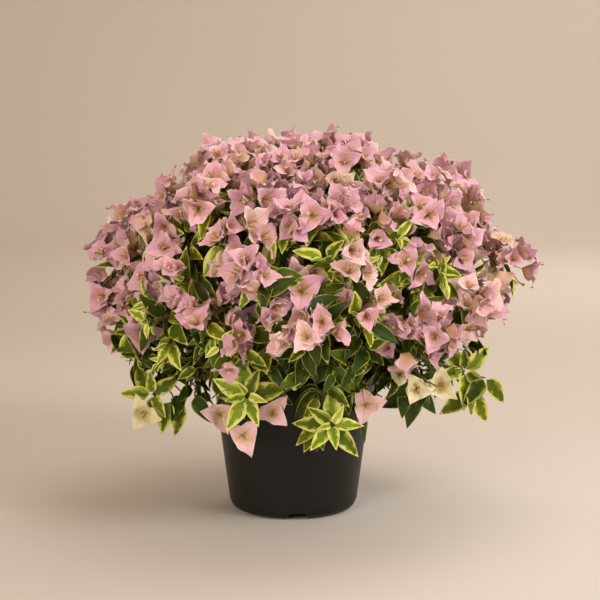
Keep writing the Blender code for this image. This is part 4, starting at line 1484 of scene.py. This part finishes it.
print("a head fans out at", [round(math.degrees(math.tau * part / 3)) for part in range(3)], "degrees")

# %% [markdown]
# Every shoot is visited once for its blooms. A clump's twigs nearly all bloom, and those in the gaps
# between clumps less often. Even a leafy shoot has a stray bloom here and there. The twigs' choices
# are noted, because the leaves that follow depend on them.

# %% Blooms of every shoot
STRAY_BLOOMS, CLUMP_BLOOMS, GAP_BLOOMS, SUNKEN_BLOOMS = 0.14, 0.98, 0.4, 0.8
# A twig that ends deeper than this share of the crown's reach is sunken
SUNKEN = 0.80
# Where a clump gives way to the gap beside it, and the lowest direction's height with blooms
CLUMP_EDGE, LOWEST_BLOOMS = 0.75, -0.17
dice = random.Random(121)
for shoot in shoots:
    kind, outward, limit = shoot["kind"], shoot["outward"], shoot.get("limit", 1.0)
    chance = 1.0
    if kind not in BRACT_TINTS:
        kind, chance = bract_tint(outward), STRAY_BLOOMS * blossom_share(outward)
    else:
        tip, along = point_on(shoot["path"], 1.0)
        heads = 1 if shoot["mass"]["size"] else 3
        bloom_head(tip, along, outward, kind, heads, "known" in shoot, limit)
    shoot["blooming"] = []
    for path, off in shoot["twigs"]:
        end, onward = point_on(path, 1.0)
        way = (end - HEART).normalized()
        sunken = (end - HEART).length < crown_reach(way) * (SUNKEN + swelling(way))
        likely = chance * (CLUMP_BLOOMS if off < CLUMP_EDGE else GAP_BLOOMS)
        likely *= SUNKEN_BLOOMS if sunken else blossom_share(way)
        blooms = way.z > LOWEST_BLOOMS and dice.random() < likely
        shoot["blooming"].append(blooms)
        if blooms:
            # Sunken blooms are often peach: partly older bracts that fade, partly painted warm shade
            # for light glowing through bracts deep in the crown
            tint = "peach" if sunken and dice.random() < 0.35 else kind
            bloom_head(end, onward, outward, tint, dice.choice((1, 2, 3, 3)), limit=limit)
bloom_tree = kdtree.KDTree(len(bloom_spots))
for index, spot in enumerate(bloom_spots):
    bloom_tree.insert(spot, index)
bloom_tree.balance()
print(tally)

# %% [markdown]
# The leaves come after the blooms, so that none grows through a bract. The known rosettes are first
# of all, and then nothing may stand before them. Inner leaves are deep green, and a twig that
# doesn't bloom ends in young ones.

# %% Leaves of every shoot
# The share of the crown's reach that the leaves of a shoot stay within: on its own path, under a
# twig's blooms, on a twig without blooms, and in a hanging spray
INNER, UNDER_BLOOMS, OUTER, IN_SPRAY = 0.84, 0.93, 0.95, 1.05
# Nothing stands in front of a known rosette of more leaves than this
SMALL_ROSETTE = 5
# A twig that ends this far below the crown's heart is low, and most low twigs bear old leaves
LOW_DOWN, SHADED = 0.045, 0.6
for shoot in shoots:
    if shoot.get("known"):
        sideways = Vector((shoot["outward"].x * 0.3, 0.0, 0.0))
        face = (TO_VIEWER + up * 0.25 + sideways).normalized()
        rosette(shoot["path"][-1], face, shoot["kind"], shoot["known"])
for shoot in shoots:
    if shoot.get("known", 0) > SMALL_ROSETTE:
        clear_sights.append((shoot["path"][-1], ROSETTE_SEEN))
for shoot in shoots:
    kind, outward = shoot["kind"], shoot["outward"]
    in_bloom = kind in BRACT_TINTS
    if "known" in shoot:
        leafy_twig(shoot["path"], TO_VIEWER, "grown", 1, 0, IN_SPRAY)
    elif shoot["mass"]["size"] and in_bloom:
        leafy_twig(shoot["path"], outward, "grown", 3, 1, IN_SPRAY)
    elif shoot["mass"]["size"]:
        leafy_twig(shoot["path"], outward, kind, 3, 5, IN_SPRAY)
    else:
        leafy_twig(shoot["path"], outward, "deep", 5, 0, INNER)
    for (path, _off), twig_blooms in zip(shoot["twigs"], shoot["blooming"]):
        if twig_blooms:
            leafy_twig(path, outward, "grown", 4, 0, UNDER_BLOOMS)
            continue
        low = path[-1].z < HEART.z - LOW_DOWN
        young = "fresh" if in_bloom else kind
        if low and dice.random() < SHADED:
            young = "deep"
        leafy_twig(path, outward, young, 3, 1 if low else 4, OUTER)
print(tally)

# %% [markdown]
# The beds become objects: leaves in four sectors, bracts in two halves, and flowers and stalks.
# Each piece stays well under 200,000 triangles, and the leaves of a sector stand for the masses
# whose middles lie in it.

# %% Pieces of foliage


def foliage_piece(name, bed, finishes, nodes=()):
    """Turn a bed into a piece that stands for the given nodes."""
    item = mesh_object(name, bed, *finishes)
    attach(item, "root")
    if nodes:
        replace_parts(item, *nodes)
    triangles = sum(len(face.vertices) - 2 for face in item.data.polygons)
    print(f"{name}: {triangles} triangles, stands for {len(nodes)} masses")


for sector, bed in leaf_beds.items():
    nodes = [mass["node"] for mass in masses if sector_of(mass["middle"]) == sector]
    foliage_piece(f"leaves_{sector}", bed, leaf_finishes, nodes)
for half, bed in bract_beds.items():
    foliage_piece(f"bracts_{half}", bed, bract_finishes)
foliage_piece("flowers", flower_bed, flower_finishes)
limb_object("stalks", stalks, 0, shoot_green)

# %% [markdown]
# Once the templates have been poured they aren't needed, so they go. The dressed plant must not
# outgrow the imported model.

# %% Clear away the templates
for mesh in [mesh for mesh in bpy.data.meshes if mesh.users == 0]:
    bpy.data.meshes.remove(mesh)
